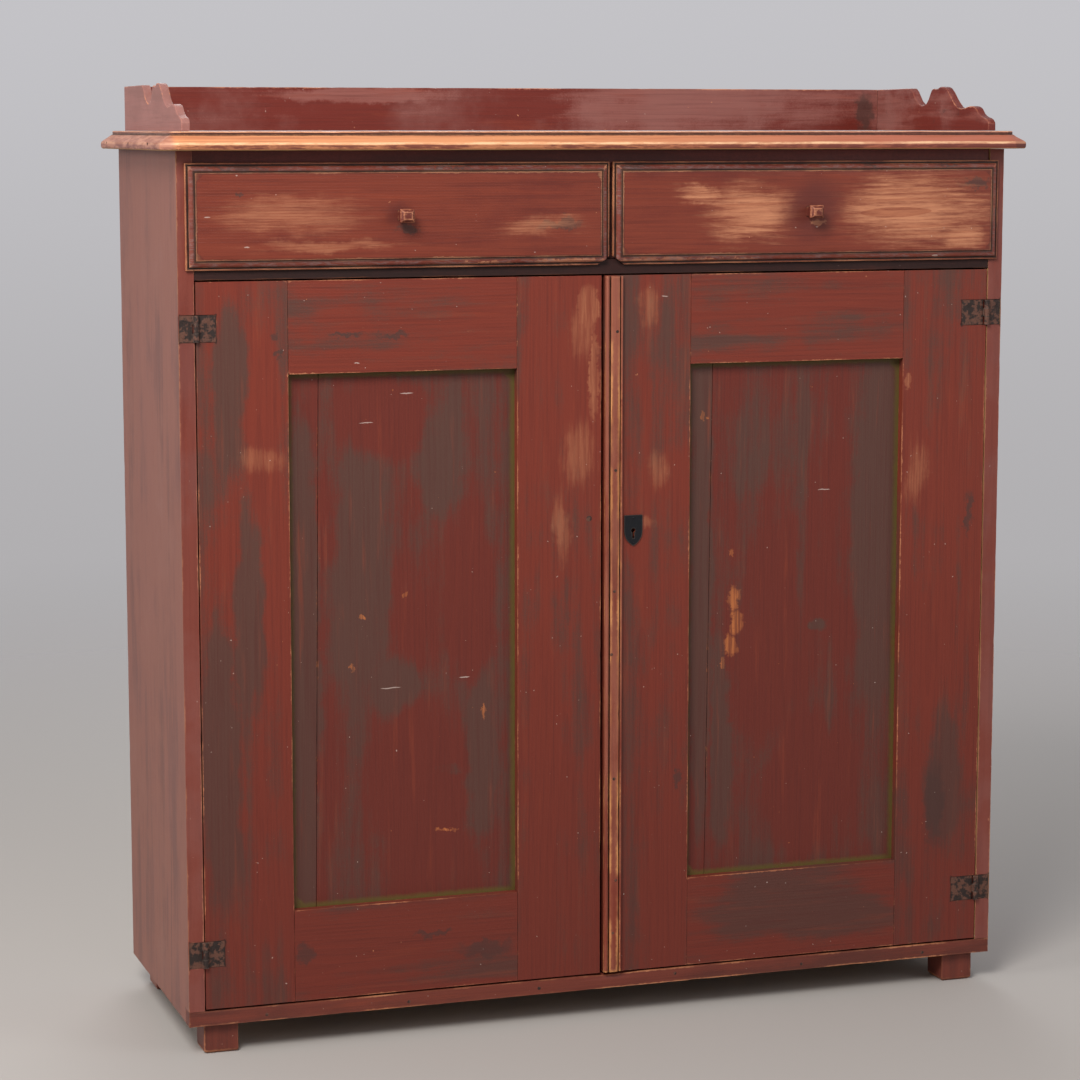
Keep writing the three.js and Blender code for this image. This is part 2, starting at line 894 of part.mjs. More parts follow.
function makeLock(meetEdge, keyX) {
  const half = escutcheonWidth / 2;
  const low = keyholeHeight - escutcheonHeight / 2;
  const high = keyholeHeight + escutcheonHeight / 2;
  const shield = new THREE.Shape();
  shield.moveTo(keyX, low);
  shield.quadraticCurveTo(keyX + half, low + escutcheonHeight / 6, keyX + half, keyholeHeight);
  shield.lineTo(keyX + half, high);
  shield.lineTo(keyX - half, high);
  shield.lineTo(keyX - half, keyholeHeight);
  shield.quadraticCurveTo(keyX - half, low + escutcheonHeight / 6, keyX, low);
  const plate = sheet(shield, -fit - escutcheonThickness, -fit, roundSteps / 2);
  const opening = keyholeCut(keyX, -overrun, doorThickness);
  addPiece("escutcheon", "blackIron", shaped(plate, [], [opening]));

  const caseFront = doorThickness + fit;
  const caseLeft = meetEdge + lockCaseMargin;
  const boltFront = caseFront + boltSetback;
  const channel = block(
    caseLeft - overrun,
    caseLeft + boltLength + runningGap,
    boltFront - runningGap,
    boltFront + boltThickness + runningGap,
    keyholeHeight - boltHeight / 2 - runningGap,
    keyholeHeight + boltHeight / 2 + runningGap,
  );
  const casing = block(
    caseLeft,
    caseLeft + lockCaseWidth,
    caseFront,
    caseFront + lockCaseThickness,
    keyholeHeight - lockCaseHeight / 2,
    keyholeHeight + lockCaseHeight / 2,
  );
  const keyway = keyholeCut(keyX, caseFront - overrun, boltFront);
  addPiece("lock_case", "oldIron", shaped(casing, [], [channel, keyway]));
  const bolt = block(
    caseLeft,
    caseLeft + boltLength,
    boltFront,
    boltFront + boltThickness,
    keyholeHeight - boltHeight / 2,
    keyholeHeight + boltHeight / 2,
  );
  addPiece("lock_bolt", "oldIron", bolt);
}

function makeTurnButton(meetEdge, stileWidth) {
  const x = meetEdge - stileWidth / 2;
  const z = doorTop - buttonDrop;
  const front = doorThickness + fit;
  const straight = (buttonLength - buttonWidth) / 2;
  const outline = new THREE.Shape();
  outline.absarc(x + straight, z, buttonWidth / 2, -Math.PI / 2, Math.PI / 2);
  outline.absarc(x - straight, z, buttonWidth / 2, Math.PI / 2, (3 * Math.PI) / 2);
  outline.closePath();
  const head = new THREE.Shape();
  head.absarc(x, z, screwRadius, 0, 2 * Math.PI);
  const back = front + buttonThickness;
  const screw = sheet(head, back - screwHead, back + screwHead);
  addPiece("turn_button", "rawPine", shaped(sheet(outline, front, back), [screw], []));
}

for (const [word, hand] of Object.entries(hands)) {
  makeSide(word, hand);
  makeDrawer(word, hand);
}
makeLyingBoards();
makeRails();
makePartition();
makeBack();
makeFeet();
makeTop();
makeGallery();

const leftMeetEdge = makeDoor("left", hands.left, {
  hingeStile: leftHingeStile,
  meetingStile: leftMeetingStile,
  crackTop: leftCrackTop,
  crackBottom: leftCrackBottom,
  leafWidth: leftDoorLeaf,
  stileCuts: [],
});
makeTurnButton(leftMeetEdge, leftMeetingStile);

const rightEdge = doorMeetingOffset + doorMeetingGap / 2;
const keyholeX = rightEdge + stripWidth + escutcheonGap + escutcheonWidth / 2;
makeDoor("right", hands.right, {
  hingeStile: rightHingeStile,
  meetingStile: rightMeetingStile,
  crackTop: rightCrackTop,
  crackBottom: rightCrackBottom,
  leafWidth: rightDoorLeaf,
  stileCuts: [keyholeCut(keyholeX, -overrun, doorThickness + overrun)],
});
makeStrip(rightEdge);
makeLock(rightEdge, keyholeX);

export default cupboard;
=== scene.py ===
import json
import math
import random
import zlib

import bmesh
import bpy
import numpy as np
from mathutils import Euler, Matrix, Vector, noise


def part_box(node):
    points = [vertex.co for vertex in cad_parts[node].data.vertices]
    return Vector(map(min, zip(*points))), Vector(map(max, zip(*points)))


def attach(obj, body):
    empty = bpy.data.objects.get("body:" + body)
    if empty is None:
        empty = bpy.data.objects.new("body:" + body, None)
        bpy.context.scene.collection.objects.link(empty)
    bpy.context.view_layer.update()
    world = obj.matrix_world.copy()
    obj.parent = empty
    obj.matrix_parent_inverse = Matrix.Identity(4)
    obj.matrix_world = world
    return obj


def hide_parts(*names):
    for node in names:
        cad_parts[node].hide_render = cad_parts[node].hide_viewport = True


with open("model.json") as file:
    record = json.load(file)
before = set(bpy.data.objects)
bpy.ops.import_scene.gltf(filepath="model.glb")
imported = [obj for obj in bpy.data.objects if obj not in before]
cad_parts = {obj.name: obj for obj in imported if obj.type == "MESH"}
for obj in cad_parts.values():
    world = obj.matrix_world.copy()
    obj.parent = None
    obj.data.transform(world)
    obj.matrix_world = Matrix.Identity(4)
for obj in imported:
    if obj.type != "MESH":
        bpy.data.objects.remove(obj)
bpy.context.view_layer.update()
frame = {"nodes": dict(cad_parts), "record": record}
nodes = frame["nodes"]
record = frame["record"]
MM = 0.001
X, Y, Z = 0, 1, 2

# Which body each node rides on, and which slot it takes its finish from
body_of_node = {n: body for body, members in record["behaviour"]["bodies"].items() for n in members}
slot_of_node = {part["node"]: part["material_slot"] for part in record["subparts"]}


# Colours
def rgb(red, green, blue):
    """A colour seen on a screen, 0 to 255, as the linear values that a shader takes."""
    shares = (channel / 255 for channel in (red, green, blue))
    return tuple(s / 12.92 if s <= 0.04045 else ((s + 0.055) / 1.055) ** 2.4 for s in shares) + (1.0,)


# Shader building
class Tree:
    """One material's node tree, with short methods that add and link its nodes."""

    def __init__(self, name):
        self.material = bpy.data.materials.new(name)
        self.material.use_nodes = True
        self.tree = self.material.node_tree
        self.tree.nodes.clear()
        output = self.tree.nodes.new("ShaderNodeOutputMaterial")
        self.shader = self.tree.nodes.new("ShaderNodeBsdfPrincipled")
        self.tree.links.new(self.shader.outputs[0], output.inputs["Surface"])
        self.place = self.new("ShaderNodeTexCoord").outputs["Object"]
        self.grain = self.attribute("grain").outputs["Vector"]
        self.edge = self.attribute("edge").outputs["Fac"]
        self.rim = self.attribute("rim").outputs["Fac"]

    def new(self, kind):
        return self.tree.nodes.new(kind)

    def attribute(self, name):
        node = self.new("ShaderNodeAttribute")
        node.attribute_name = name
        return node

    def put(self, socket, value):
        if isinstance(value, bpy.types.NodeSocket):
            self.tree.links.new(value, socket)
        else:
            socket.default_value = value

    def math(self, operation, a, b=0.0, c=0.0, clamp=False):
        node = self.new("ShaderNodeMath")
        node.operation = operation
        node.use_clamp = clamp
        for socket, value in zip(node.inputs, (a, b, c)):
            self.put(socket, value)
        return node.outputs[0]

    def vector(self, operation, a, b=(0, 0, 0)):
        node = self.new("ShaderNodeVectorMath")
        node.operation = operation
        self.put(node.inputs[0], a)
        self.put(node.inputs[1], b)
        return node.outputs["Value" if operation in ("LENGTH", "DOT_PRODUCT") else "Vector"]

    def noise(self, vector, scale, detail=3.0, rough=0.5, twist=0.0):
        """Smooth noise from 0 to 1. Scale is how many times it changes in a metre, on each axis."""
        node = self.new("ShaderNodeTexNoise")
        node.inputs["Scale"].default_value = 1.0
        node.inputs["Detail"].default_value = detail
        node.inputs["Roughness"].default_value = rough
        node.inputs["Distortion"].default_value = twist
        stretch = scale if isinstance(scale, tuple) else (scale, scale, scale)
        self.put(node.inputs["Vector"], self.vector("MULTIPLY", vector, stretch))
        return node.outputs["Fac"]

    def step(self, value, low, high, bottom=0.0, top=1.0):
        """Goes smoothly from bottom to top as the value goes from low to high, whichever is the larger."""
        node = self.new("ShaderNodeMapRange")
        node.interpolation_type = "SMOOTHSTEP"
        for name, number in zip(("Value", "From Min", "From Max", "To Min", "To Max"),
                                (value, low, high, bottom, top)):
            self.put(node.inputs[name], number)
        return node.outputs["Result"]

    def mix(self, share, a, b):
        node = self.new("ShaderNodeMix")
        node.data_type = "RGBA"
        self.put(node.inputs[0], share)
        self.put(node.inputs[6], a)
        self.put(node.inputs[7], b)
        return node.outputs[2]

    def axis(self, index):
        """How far along one axis the place is."""
        node = self.new("ShaderNodeSeparateXYZ")
        self.put(node.inputs[0], self.place)
        return node.outputs[index]

    def band(self, value, low, high, soft):
        """1 between low and high, and 0 beyond them."""
        risen = self.step(value, low - soft, low + soft)
        return self.times(risen, self.step(value, high + soft, high - soft))

    def most(self, *shares):
        found = shares[0]
        for share in shares[1:]:
            found = self.math("MAXIMUM", found, share)
        return found

    def times(self, *shares):
        found = shares[0]
        for share in shares[1:]:
            found = self.math("MULTIPLY", found, share)
        return found

    def bump(self, height, depth):
        node = self.new("ShaderNodeBump")
        node.inputs["Strength"].default_value = 1.0
        node.inputs["Distance"].default_value = depth
        self.put(node.inputs["Height"], height)
        return node.outputs["Normal"]


# Colours of the paint, the wood and the iron
RED = rgb(120, 49, 35)
DEEP_RED = rgb(104, 42, 32)
DARK_RED = rgb(78, 32, 27)
BRIGHT_RED = rgb(148, 66, 42)
GREY_BROWN = rgb(84, 58, 50)
SLATE = rgb(62, 51, 47)
# Pale specks, and the painted sheen of a glancing light
PALE_SPECK_AND_SHEEN = rgb(142, 100, 94)
ORANGE_WOOD = rgb(190, 112, 64)
TAN_WOOD = rgb(206, 144, 92)
LATE_WOOD = rgb(156, 92, 52)
AGED_PINE = rgb(190, 150, 100)
AGED_RING = rgb(150, 104, 60)
AGED_EDGE = rgb(112, 78, 50)
PINE_STAIN = rgb(120, 82, 52)
PINE_GRIME = rgb(84, 60, 44)
# Dark dirt, also used for the painted shade in inner corners
DIRT_AND_SHADE = rgb(38, 27, 23)
OLIVE = rgb(92, 80, 36)
PALE = rgb(196, 176, 166)
PLUM = rgb(92, 42, 36)
RUST = rgb(96, 60, 46)
IRON = rgb(60, 50, 47)
WORN_IRON = rgb(112, 98, 90)
BLACK_IRON = rgb(30, 32, 36)

# Marks that the years have left, and the gallery's painted sheen and shade, in mm: right of the middle,
# above the floor, half width, half height
DOOR_BARE = [
    (-30, 1005, 17, 34), (-21, 913, 8, 66), (8, 1008, 9, 33), (455, 893, 6, 11), (125, 804, 3, 15),
]
DOOR_RUBBED = [
    (-45, 803, 28, 46), (-490, 811, 36, 20), (58, 1007, 18, 30), (77, 777, 18, 28),
    (60, 704, 12, 10), (-38, 968, 20, 40), (-70, 700, 12, 60), (470, 760, 20, 50),
]
DOOR_SLATE = [
    (-303, 974, 22, 4), (-375, 976, 26, 3), (-468, 953, 5, 6), (-470, 978, 6, 8),
    (-437, 129, 11, 15), (-179, 115, 38, 14), (-256, 143, 25, 6), (554, 695, 6, 32),
    (106, 338, 6, 15), (508, 268, 14, 64),
]
DOOR_GREY = [
    (281, 129, 135, 44), (-509, 624, 18, 130), (-550, 409, 20, 170), (-530, 900, 22, 110),
    (520, 320, 26, 90),
]
PANEL_BARE = [
    (195, 589, 9, 18), (199, 555, 10, 17), (191, 522, 11, 16), (190, 654, 4, 5), (178, 498, 4, 8),
    (147, 850, 5, 6), (-231, 285, 18, 2.4), (-364, 520, 4, 5), (-349, 590, 4, 5), (-289, 620, 3, 6),
    (-176, 450, 2.5, 12),
]
PANEL_GREY = [
    (319, 545, 14, 8), (420, 691, 34, 230), (-430, 563, 18, 330), (-352, 669, 42, 150),
    (-238, 815, 30, 80), (-183, 381, 18, 120), (-297, 487, 36, 40), (144, 589, 15, 300),
    (176, 357, 14, 120), (-233, 370, 22, 9),
]
PANEL_RED = [
    (236, 527, 46, 180), (300, 319, 70, 90), (-270, 331, 70, 120), (-309, 858, 66, 50),
    (-196, 606, 26, 120),
]
DRAWER_RUBBED = [
    (458, 1134, 124, 58), (420, 1142, 60, 40), (206, 1134, 76, 44), (527, 1098, 40, 22),
    (-449, 1136, 104, 30), (-396, 1092, 110, 9), (130, 1160, 40, 14), (-100, 1120, 60, 16),
]
DRAWER_BARE = [
    (309, 1118, 11, 4), (-60, 1069, 58, 4.5), (62, 1069, 60, 4.5), (170, 1068, 50, 2.4),
    (-170, 1068, 40, 2.2),
]
DRAWER_DARK = [
    (-287, 1117, 16, 8), (549, 1172, 25, 7), (-74, 1119, 36, 8), (-520, 1164, 4, 4),
    (-520, 1197, 52, 3.4), (-512, 1198, 13, 6), (-230, 1197, 34, 2.6), (34, 1197, 20, 4),
    (388, 1196, 5, 4), (507, 1197, 18, 4),
]
DRAWER_PLUM = [
    (297, 1138, 52, 46), (-300, 1134, 26, 20),
]
# Painted sheen: more of the gallery's pale second coat towards its right
GALLERY_SHEEN = [
    (330, 1284, 280, 60), (-250, 1296, 120, 12),
]
# Painted shade in the gallery's inner corner at the right
GALLERY_CORNER_SHADE = [
    (556, 1270, 15, 30),
]
SCRATCHES = [
    (332, 739, 9, 0.7), (-310, 490, 14, 0.8), (-205, 499, 8, 0.9), (-285, 894, 9, 0.8),
    (-342, 855, 10, 0.7), (-561, 1134, 4, 0.8), (83, 1019, 5, 0.8), (-358, 937, 4, 0.8),
    (490, 1070, 5, 1.2), (-509, 1094, 4, 1.0),
]


def pine(t, light, late, ring=3.6 * MM, bend=26 * MM):
    """The colour of bare pine, its rings and its fibres. The rings lie round a pith beside the board."""
    slow = t.math("SUBTRACT", t.noise(t.grain, (1.3, 5, 5), 2.0), 0.5)
    section = t.vector("MULTIPLY", t.grain, (0, 1, 1))
    radius = t.math("MULTIPLY_ADD", slow, bend, t.vector("LENGTH", section))
    phase = t.math("FRACT", t.math("DIVIDE", radius, ring))
    rings = t.math("POWER", phase, 2.2)
    fibres = t.noise(t.grain, (7, 620, 620), 2.0)
    darker = t.math("MULTIPLY_ADD", rings, 0.7, -0.22)
    share = t.math("MULTIPLY_ADD", fibres, 0.5, darker, clamp=True)
    return t.mix(share, light, late), rings, fibres


def ragged(t, scale, reach):
    """The place, pushed about a little, so that a mark has a torn edge."""
    node = t.new("ShaderNodeTexNoise")
    node.inputs["Scale"].default_value = scale
    node.inputs["Detail"].default_value = 5.0
    node.inputs["Roughness"].default_value = 0.65
    t.put(node.inputs["Vector"], t.place)
    swing = t.vector("SUBTRACT", node.outputs["Color"], (0.5, 0.5, 0.5))
    return t.vector("ADD", t.place, t.vector("MULTIPLY", swing, (reach, 0, reach)))


BEYOND_MARKS = 9.0
PAINT_SPECULAR = 0.28
SIDE_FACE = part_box("side_left")[0].x
MEETING_BLEND = 0.02

# Where the painted shade on the doors, darker towards the floor, starts and is deepest, and the line of the
# crack in the left side board
SHADE_TOP = 0.85
SHADE_FOOT = 0.1
CRACK_SLOPE = 0.0596
CRACK_FOOT = -0.0603
CRACK_TOP = 0.345
CRACK_FADE = 0.05

# The bands of the top's moulding, from its underside up, and their colours
TOP_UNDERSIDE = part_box("top_board")[0].z
NOSING = (1.7 * MM, 7.2 * MM)
CREST = (7.4 * MM, 10.4 * MM)
QUIRK = (21.4 * MM, 23.3 * MM)
MOULD_TAN = rgb(208, 140, 96)
MOULD_PINK = rgb(178, 104, 82)
MOULD_STREAK = rgb(160, 90, 62)
MOULD_HIGHLIGHT = rgb(238, 196, 152)
MOULD_PLUM = rgb(104, 52, 46)
MOULD_QUIRK_SHADE = rgb(86, 44, 38)
MOULD_PALE = rgb(226, 178, 144)
MOULD_END = rgb(176, 124, 106)
MOULD_END_DARK = rgb(132, 82, 72)

# The bands of the drawers' lips, from the outline in, and their colours
LIP_QUIRK = (2.7 * MM, 3.9 * MM)
LIP_OVOLO = (4.4 * MM, 12.0 * MM)
LIP_LINE = (12.4 * MM, 13.6 * MM)
LIP_SHADE = (14.0 * MM, 15.4 * MM)
LIP_RUBBED = rgb(192, 126, 86)
LIP_QUIRK_SHADE = rgb(46, 24, 20)
LIP_GREY = rgb(126, 104, 102)
LIP_HIGHLIGHT = rgb(208, 148, 108)


def marked(t, place, marks):
    """How far the place is outside the nearest mark, where 1 is the mark's own edge."""
    nearest_mark = BEYOND_MARKS
    for right, up, half_width, half_height in marks:
        node = t.new("ShaderNodeVectorMath")
        node.operation = "MULTIPLY_ADD"
        t.put(node.inputs[0], place)
        node.inputs[1].default_value = (1 / (half_width * MM), 0, 1 / (half_height * MM))
        node.inputs[2].default_value = (-right / half_width, 0, -up / half_height)
        nearest_mark = t.math("MINIMUM", nearest_mark, t.vector("LENGTH", node.outputs[0]))
    return nearest_mark


def add_shared_noises(t):
    """The noises that several layers of the paint read."""
    t.short_streak = t.noise(t.grain, (5, 70, 70), 4.0, 0.6, 0.1)
    t.blotch = t.noise(t.place, 8.0, 5.0, 0.62)
    t.speck = t.noise(t.place, 620.0, 3.0, 0.7)
    around = t.math("SUBTRACT", t.noise(t.place, 160.0, 4.0, 0.7), 0.5)
    t.nibble = t.math("MULTIPLY", around, 5.5 * MM)
    t.torn = ragged(t, 95.0, 26 * MM)
    t.drawn = ragged(t, 12.0, 50 * MM)


def two_coats(t, main, second, second_share, second_marks, main_marks):
    """Two coats of paint that have worn into each other, in streaks along the grain."""
    both = t.math("MULTIPLY", t.noise(t.grain, (1.9, 17, 17), 5.0, 0.62, 0.3), 0.42)
    both = t.math("MULTIPLY_ADD", t.short_streak, 0.2, both)
    both = t.math("MULTIPLY_ADD", t.blotch, 0.26, both)
    both = t.math("MULTIPLY_ADD", t.speck, 0.12, both)
    # More of the second coat at these marks; on the gallery they paint a sheen
    if second_marks:
        more = t.step(marked(t, t.drawn, second_marks), 1.5, 0.5, 0.0, 0.13)
        both = t.math("ADD", both, more)
    if main_marks:
        less = t.step(marked(t, t.drawn, main_marks), 1.5, 0.4, 0.0, 0.12)
        both = t.math("SUBTRACT", both, less)
    low = 0.62 - 0.2 * second_share
    return t.mix(t.step(both, low - 0.05, low + 0.06, 0.0, 0.92), main, second)


def aged_with_sheen(t, coat, rings, streaks, sheen):
    """The paint's fine streaks and its specks of dirt, and a painted sheen in pale blotches."""
    fine = t.noise(t.grain, (7, 300, 300), 3.0, 0.62)
    spots = t.noise(t.place, 380.0, 3.0, 0.7)
    coat = t.mix(t.step(fine, 0.42, 0.8, 0.0, streaks * 0.8), coat, DARK_RED)
    coat = t.mix(t.step(t.short_streak, 0.56, 0.76, 0.0, streaks * 0.7), coat, BRIGHT_RED)
    coat = t.mix(t.times(rings, streaks * 0.3), coat, DARK_RED)
    coat = t.mix(t.step(t.speck, 0.58, 0.8, 0.0, 0.16), coat, PALE_SPECK_AND_SHEEN)
    coat = t.mix(t.step(spots, 0.6, 0.75, 0.0, 0.25), coat, DIRT_AND_SHADE)
    # Painted sheen: pale blotches where the coat catches a glancing light
    if sheen:
        coat = t.mix(t.step(t.blotch, 0.42, 0.66, 0.0, sheen), coat, PALE_SPECK_AND_SHEEN)
    return coat


def stained_and_shaded(t, coat, slate_marks, plum_marks, low_shade):
    """Dark stains, painted shade in one inner corner, the ring that hands leave round a knob, and painted
    shade that deepens towards the floor.
    """
    if slate_marks:
        torn_more = ragged(t, 60.0, 44 * MM)
        coat = t.mix(t.step(marked(t, torn_more, slate_marks), 1.3, 0.6, 0.0, 0.66), coat, SLATE)
    # Painted shade: the coat drawn darker towards the floor
    if low_shade:
        coat = t.mix(t.step(t.axis(Z), SHADE_TOP, SHADE_FOOT, 0.0, low_shade), coat, DARK_RED)
    if plum_marks:
        coat = t.mix(t.step(marked(t, t.drawn, plum_marks), 1.2, 0.4, 0.0, 0.75), coat, PLUM)
    return coat


def worn_through(t, rub, edge_reach, bare_marks, bare_share):
    """How far the paint is gone: along the arrises, in flecks and chips, and at the bare marks."""
    stretch = t.step(t.noise(t.place, 13.0, 3.0), 0.44, 0.6, 0.12, 1.0)
    from_edge = t.math("ADD", t.edge, t.nibble)
    near_edge = t.step(from_edge, 0.3 * MM * edge_reach, 1.5 * MM * edge_reach, 0.9, 0.0)
    flecks = t.step(t.noise(t.grain, (30, 200, 200), 4.0, 0.72), 0.735, 0.77, 0.0, 0.55)
    chips = t.step(t.noise(t.place, 130.0, 2.0, 0.5), 0.785, 0.80, 0.0, 0.8)
    bare = t.most(t.times(near_edge, stretch, rub), t.times(flecks, rub), t.times(chips, rub))
    if bare_marks:
        thin = t.step(t.noise(t.grain, (10, 150, 150), 5.0, 0.7), 0.4, 0.66, 0.22, bare_share)
        mark = t.step(marked(t, t.torn, bare_marks), 1.15, 0.75)
        bare = t.most(bare, t.times(mark, thin))
    return bare


def rubbed_thin(t, rubbed_marks, rubbed_share, left_share, plum_marks):
    """How far hands have rubbed the paint thin, in threads along the grain, and less in the plum marks."""
    cover = t.step(marked(t, t.drawn, rubbed_marks), 1.7, 0.1, 0.0, 0.34)
    thread = t.math("ADD", t.noise(t.grain, (13, 190, 190), 7.0, 0.78), cover)
    rubbed = t.times(t.step(thread, 0.55, 0.95, 0.0, rubbed_share), t.step(cover, 0.0, 0.26))
    if left_share < 1.0:
        rubbed = t.times(rubbed, t.step(t.axis(X), -MEETING_BLEND, MEETING_BLEND, left_share, 1.0))
    if plum_marks:
        rubbed = t.times(rubbed, t.step(marked(t, t.drawn, plum_marks), 0.5, 1.15, 0.25, 1.0))
    return rubbed


def cracked(t, colour):
    """The long crack low on the left side board's outer face."""
    line = t.math("MULTIPLY_ADD", t.axis(Z), -CRACK_SLOPE, CRACK_FOOT)
    beside = t.math("SUBTRACT", t.axis(Y), line)
    beside = t.math("ABSOLUTE", t.math("ADD", beside, t.math("MULTIPLY", t.nibble, 0.3)))
    width = t.step(beside, 1.1 * MM, 0.4 * MM, 0.0, 0.85)
    length = t.step(t.axis(Z), CRACK_TOP, CRACK_TOP - CRACK_FADE)
    outer_face = t.step(t.axis(X), SIDE_FACE + 10 * MM, SIDE_FACE + 3 * MM)
    return t.mix(t.times(width, length, outer_face), colour, DIRT_AND_SHADE)


def painted(name, main, second, second_share, rub=1.0, gloss=0.42, streaks=0.5, light=TAN_WOOD,
            late=LATE_WOOD, bare_marks=(), rubbed_marks=(), slate_marks=(), plum_marks=(),
            second_marks=(), main_marks=(), sheen=0.0, corner=DIRT_AND_SHADE, edge_reach=1.0, rubbed_share=0.6,
            bare_share=0.9, left_share=1.0, front_coat=None, low_shade=0.0, crack=False, bands=None):
    """Old paint over pine, with all that the years have done to it, and the painted shade and painted sheen
    that some finishes ask for.
    """
    t = Tree(name)
    add_shared_noises(t)
    wood, rings, fibres = pine(t, light, late)
    inner, _, _ = pine(t, AGED_PINE, AGED_RING)
    if front_coat:
        front = t.attribute("front").outputs["Fac"]
        main = t.mix(front, main, front_coat)
        second = t.mix(front, second, DEEP_RED)
    coat = two_coats(t, main, second, second_share, second_marks, main_marks)
    coat = aged_with_sheen(t, coat, rings, streaks, sheen)
    coat = stained_and_shaded(t, coat, slate_marks, plum_marks, low_shade)
    bare = worn_through(t, rub, edge_reach, bare_marks, bare_share)
    if rubbed_marks:
        bare = t.most(bare, rubbed_thin(t, rubbed_marks, rubbed_share, left_share, plum_marks))
    colour = t.mix(bare, coat, wood)
    if bands:
        colour = bands(t, colour)
    if crack:
        colour = cracked(t, colour)
    scratch = t.step(marked(t, ragged(t, 50.0, 5 * MM), SCRATCHES), 1.15, 0.8, 0.0, 0.6)
    pale_specks = t.step(t.noise(t.place, 210.0, 1.0, 0.5), 0.80, 0.83, 0.0, 0.6)
    colour = t.mix(t.most(scratch, pale_specks), colour, PALE)
    # Dirt and painted shade in the corners, then the side that was never painted
    from_corner = t.math("ADD", t.rim, t.math("MULTIPLY", t.nibble, 0.5))
    colour = t.mix(t.step(from_corner, 0.6 * MM, 4 * MM, 0.88, 0.0), colour, corner)
    bare_side = t.attribute("bare").outputs["Fac"]
    colour = t.mix(bare_side, colour, inner)
    t.put(t.shader.inputs["Base Color"], colour)
    dull = t.math("MULTIPLY_ADD", t.blotch, 0.24, gloss - 0.06)
    dull = t.math("MULTIPLY_ADD", t.most(bare, bare_side), 0.2, dull, clamp=True)
    t.put(t.shader.inputs["Roughness"], dull)
    t.shader.inputs["Specular IOR Level"].default_value = PAINT_SPECULAR
    relief = t.math("MULTIPLY_ADD", fibres, 0.5, t.math("MULTIPLY", rings, 0.25))
    relief = t.math("MULTIPLY_ADD", t.speck, 0.3, relief)
    relief = t.math("SUBTRACT", relief, t.math("MULTIPLY", bare, 0.5))
    t.put(t.shader.inputs["Normal"], t.bump(relief, 0.2 * MM))
    return t.material


def moulding_bands(t, colour):
    """The moulded edge of the top: a pale fillet, painted shade in the quirk below it, a tan bevel, a
    painted highlight along its crest and a half-painted nosing.
    """
    swing = t.math("SUBTRACT", t.noise(t.place, (9, 9, 9), 4.0, 0.7), 0.5)
    above = t.math("SUBTRACT", t.axis(Z), TOP_UNDERSIDE)
    height = t.math("ADD", above, t.math("MULTIPLY", swing, 2.2 * MM))
    streak = t.noise(t.place, (7, 7, 420), 4.0, 0.65)
    patch = t.noise(t.place, (26, 26, 170), 5.0, 0.68)
    worn = t.mix(t.step(t.axis(X), -0.15, 0.5), MOULD_TAN, MOULD_PINK)
    worn = t.mix(t.step(streak, 0.42, 0.66, 0.0, 0.55), worn, MOULD_STREAK)
    # Painted highlight along the crest above the nosing
    crest = t.times(t.band(height, *CREST, 0.8 * MM), t.step(patch, 0.6, 0.4, 0.25, 0.85))
    worn = t.mix(crest, worn, MOULD_HIGHLIGHT)
    nosing_paint = t.times(t.band(height, *NOSING, 0.6 * MM), t.step(patch, 0.4, 0.56, 0.25, 0.9))
    worn = t.mix(nosing_paint, worn, MOULD_PLUM)
    # Painted shade in the quirk below the top fillet
    worn = t.mix(t.band(height, *QUIRK, 0.4 * MM), worn, MOULD_QUIRK_SHADE)
    fillet = t.times(t.step(height, 23.4 * MM, 24.0 * MM), t.step(patch, 0.62, 0.4, 0.35, 0.9))
    worn = t.mix(fillet, worn, MOULD_PALE)
    left_end = t.step(t.axis(X), SIDE_FACE - 2 * MM, SIDE_FACE - 13 * MM, 0.0, 0.8)
    end_grain = t.mix(t.step(patch, 0.4, 0.6), MOULD_END, MOULD_END_DARK)
    worn = t.mix(left_end, worn, end_grain)
    return t.mix(t.step(above, 24.95 * MM, 24.2 * MM), colour, worn)


def lip_bands(t, colour):
    """The drawers' lips: a rubbed outer line, painted shade in the quirk, a greyed ovolo, a painted
    highlight on the line inside it and painted shade beyond that.
    """
    inset = t.attribute("inset").outputs["Fac"]
    patch = t.step(t.noise(t.place, (34, 34, 34), 4.0, 0.7), 0.38, 0.6, 0.25, 1.0)
    hatch = t.noise(t.place, (110, 110, 520), 3.0, 0.7)
    grey = t.times(t.band(inset, *LIP_OVOLO, 0.7 * MM), t.step(hatch, 0.44, 0.6, 0.08, 0.6), patch)
    colour = t.mix(grey, colour, LIP_GREY)
    rubbed = t.times(t.step(inset, 1.5 * MM, 0.5 * MM, 0.0, 0.75), patch)
    colour = t.mix(rubbed, colour, LIP_RUBBED)
    # Painted shade in the quirk
    colour = t.mix(t.band(inset, *LIP_QUIRK, 0.35 * MM), colour, LIP_QUIRK_SHADE)
    # Painted highlight on the line where the lip steps up to the field
    pale = t.times(t.band(inset, *LIP_LINE, 0.4 * MM), patch)
    colour = t.mix(t.times(pale, 0.65), colour, LIP_HIGHLIGHT)
    # Painted shade just inside that line
    dark = t.times(t.band(inset, *LIP_SHADE, 0.5 * MM), 0.4)
    return t.mix(dark, colour, DARK_RED)


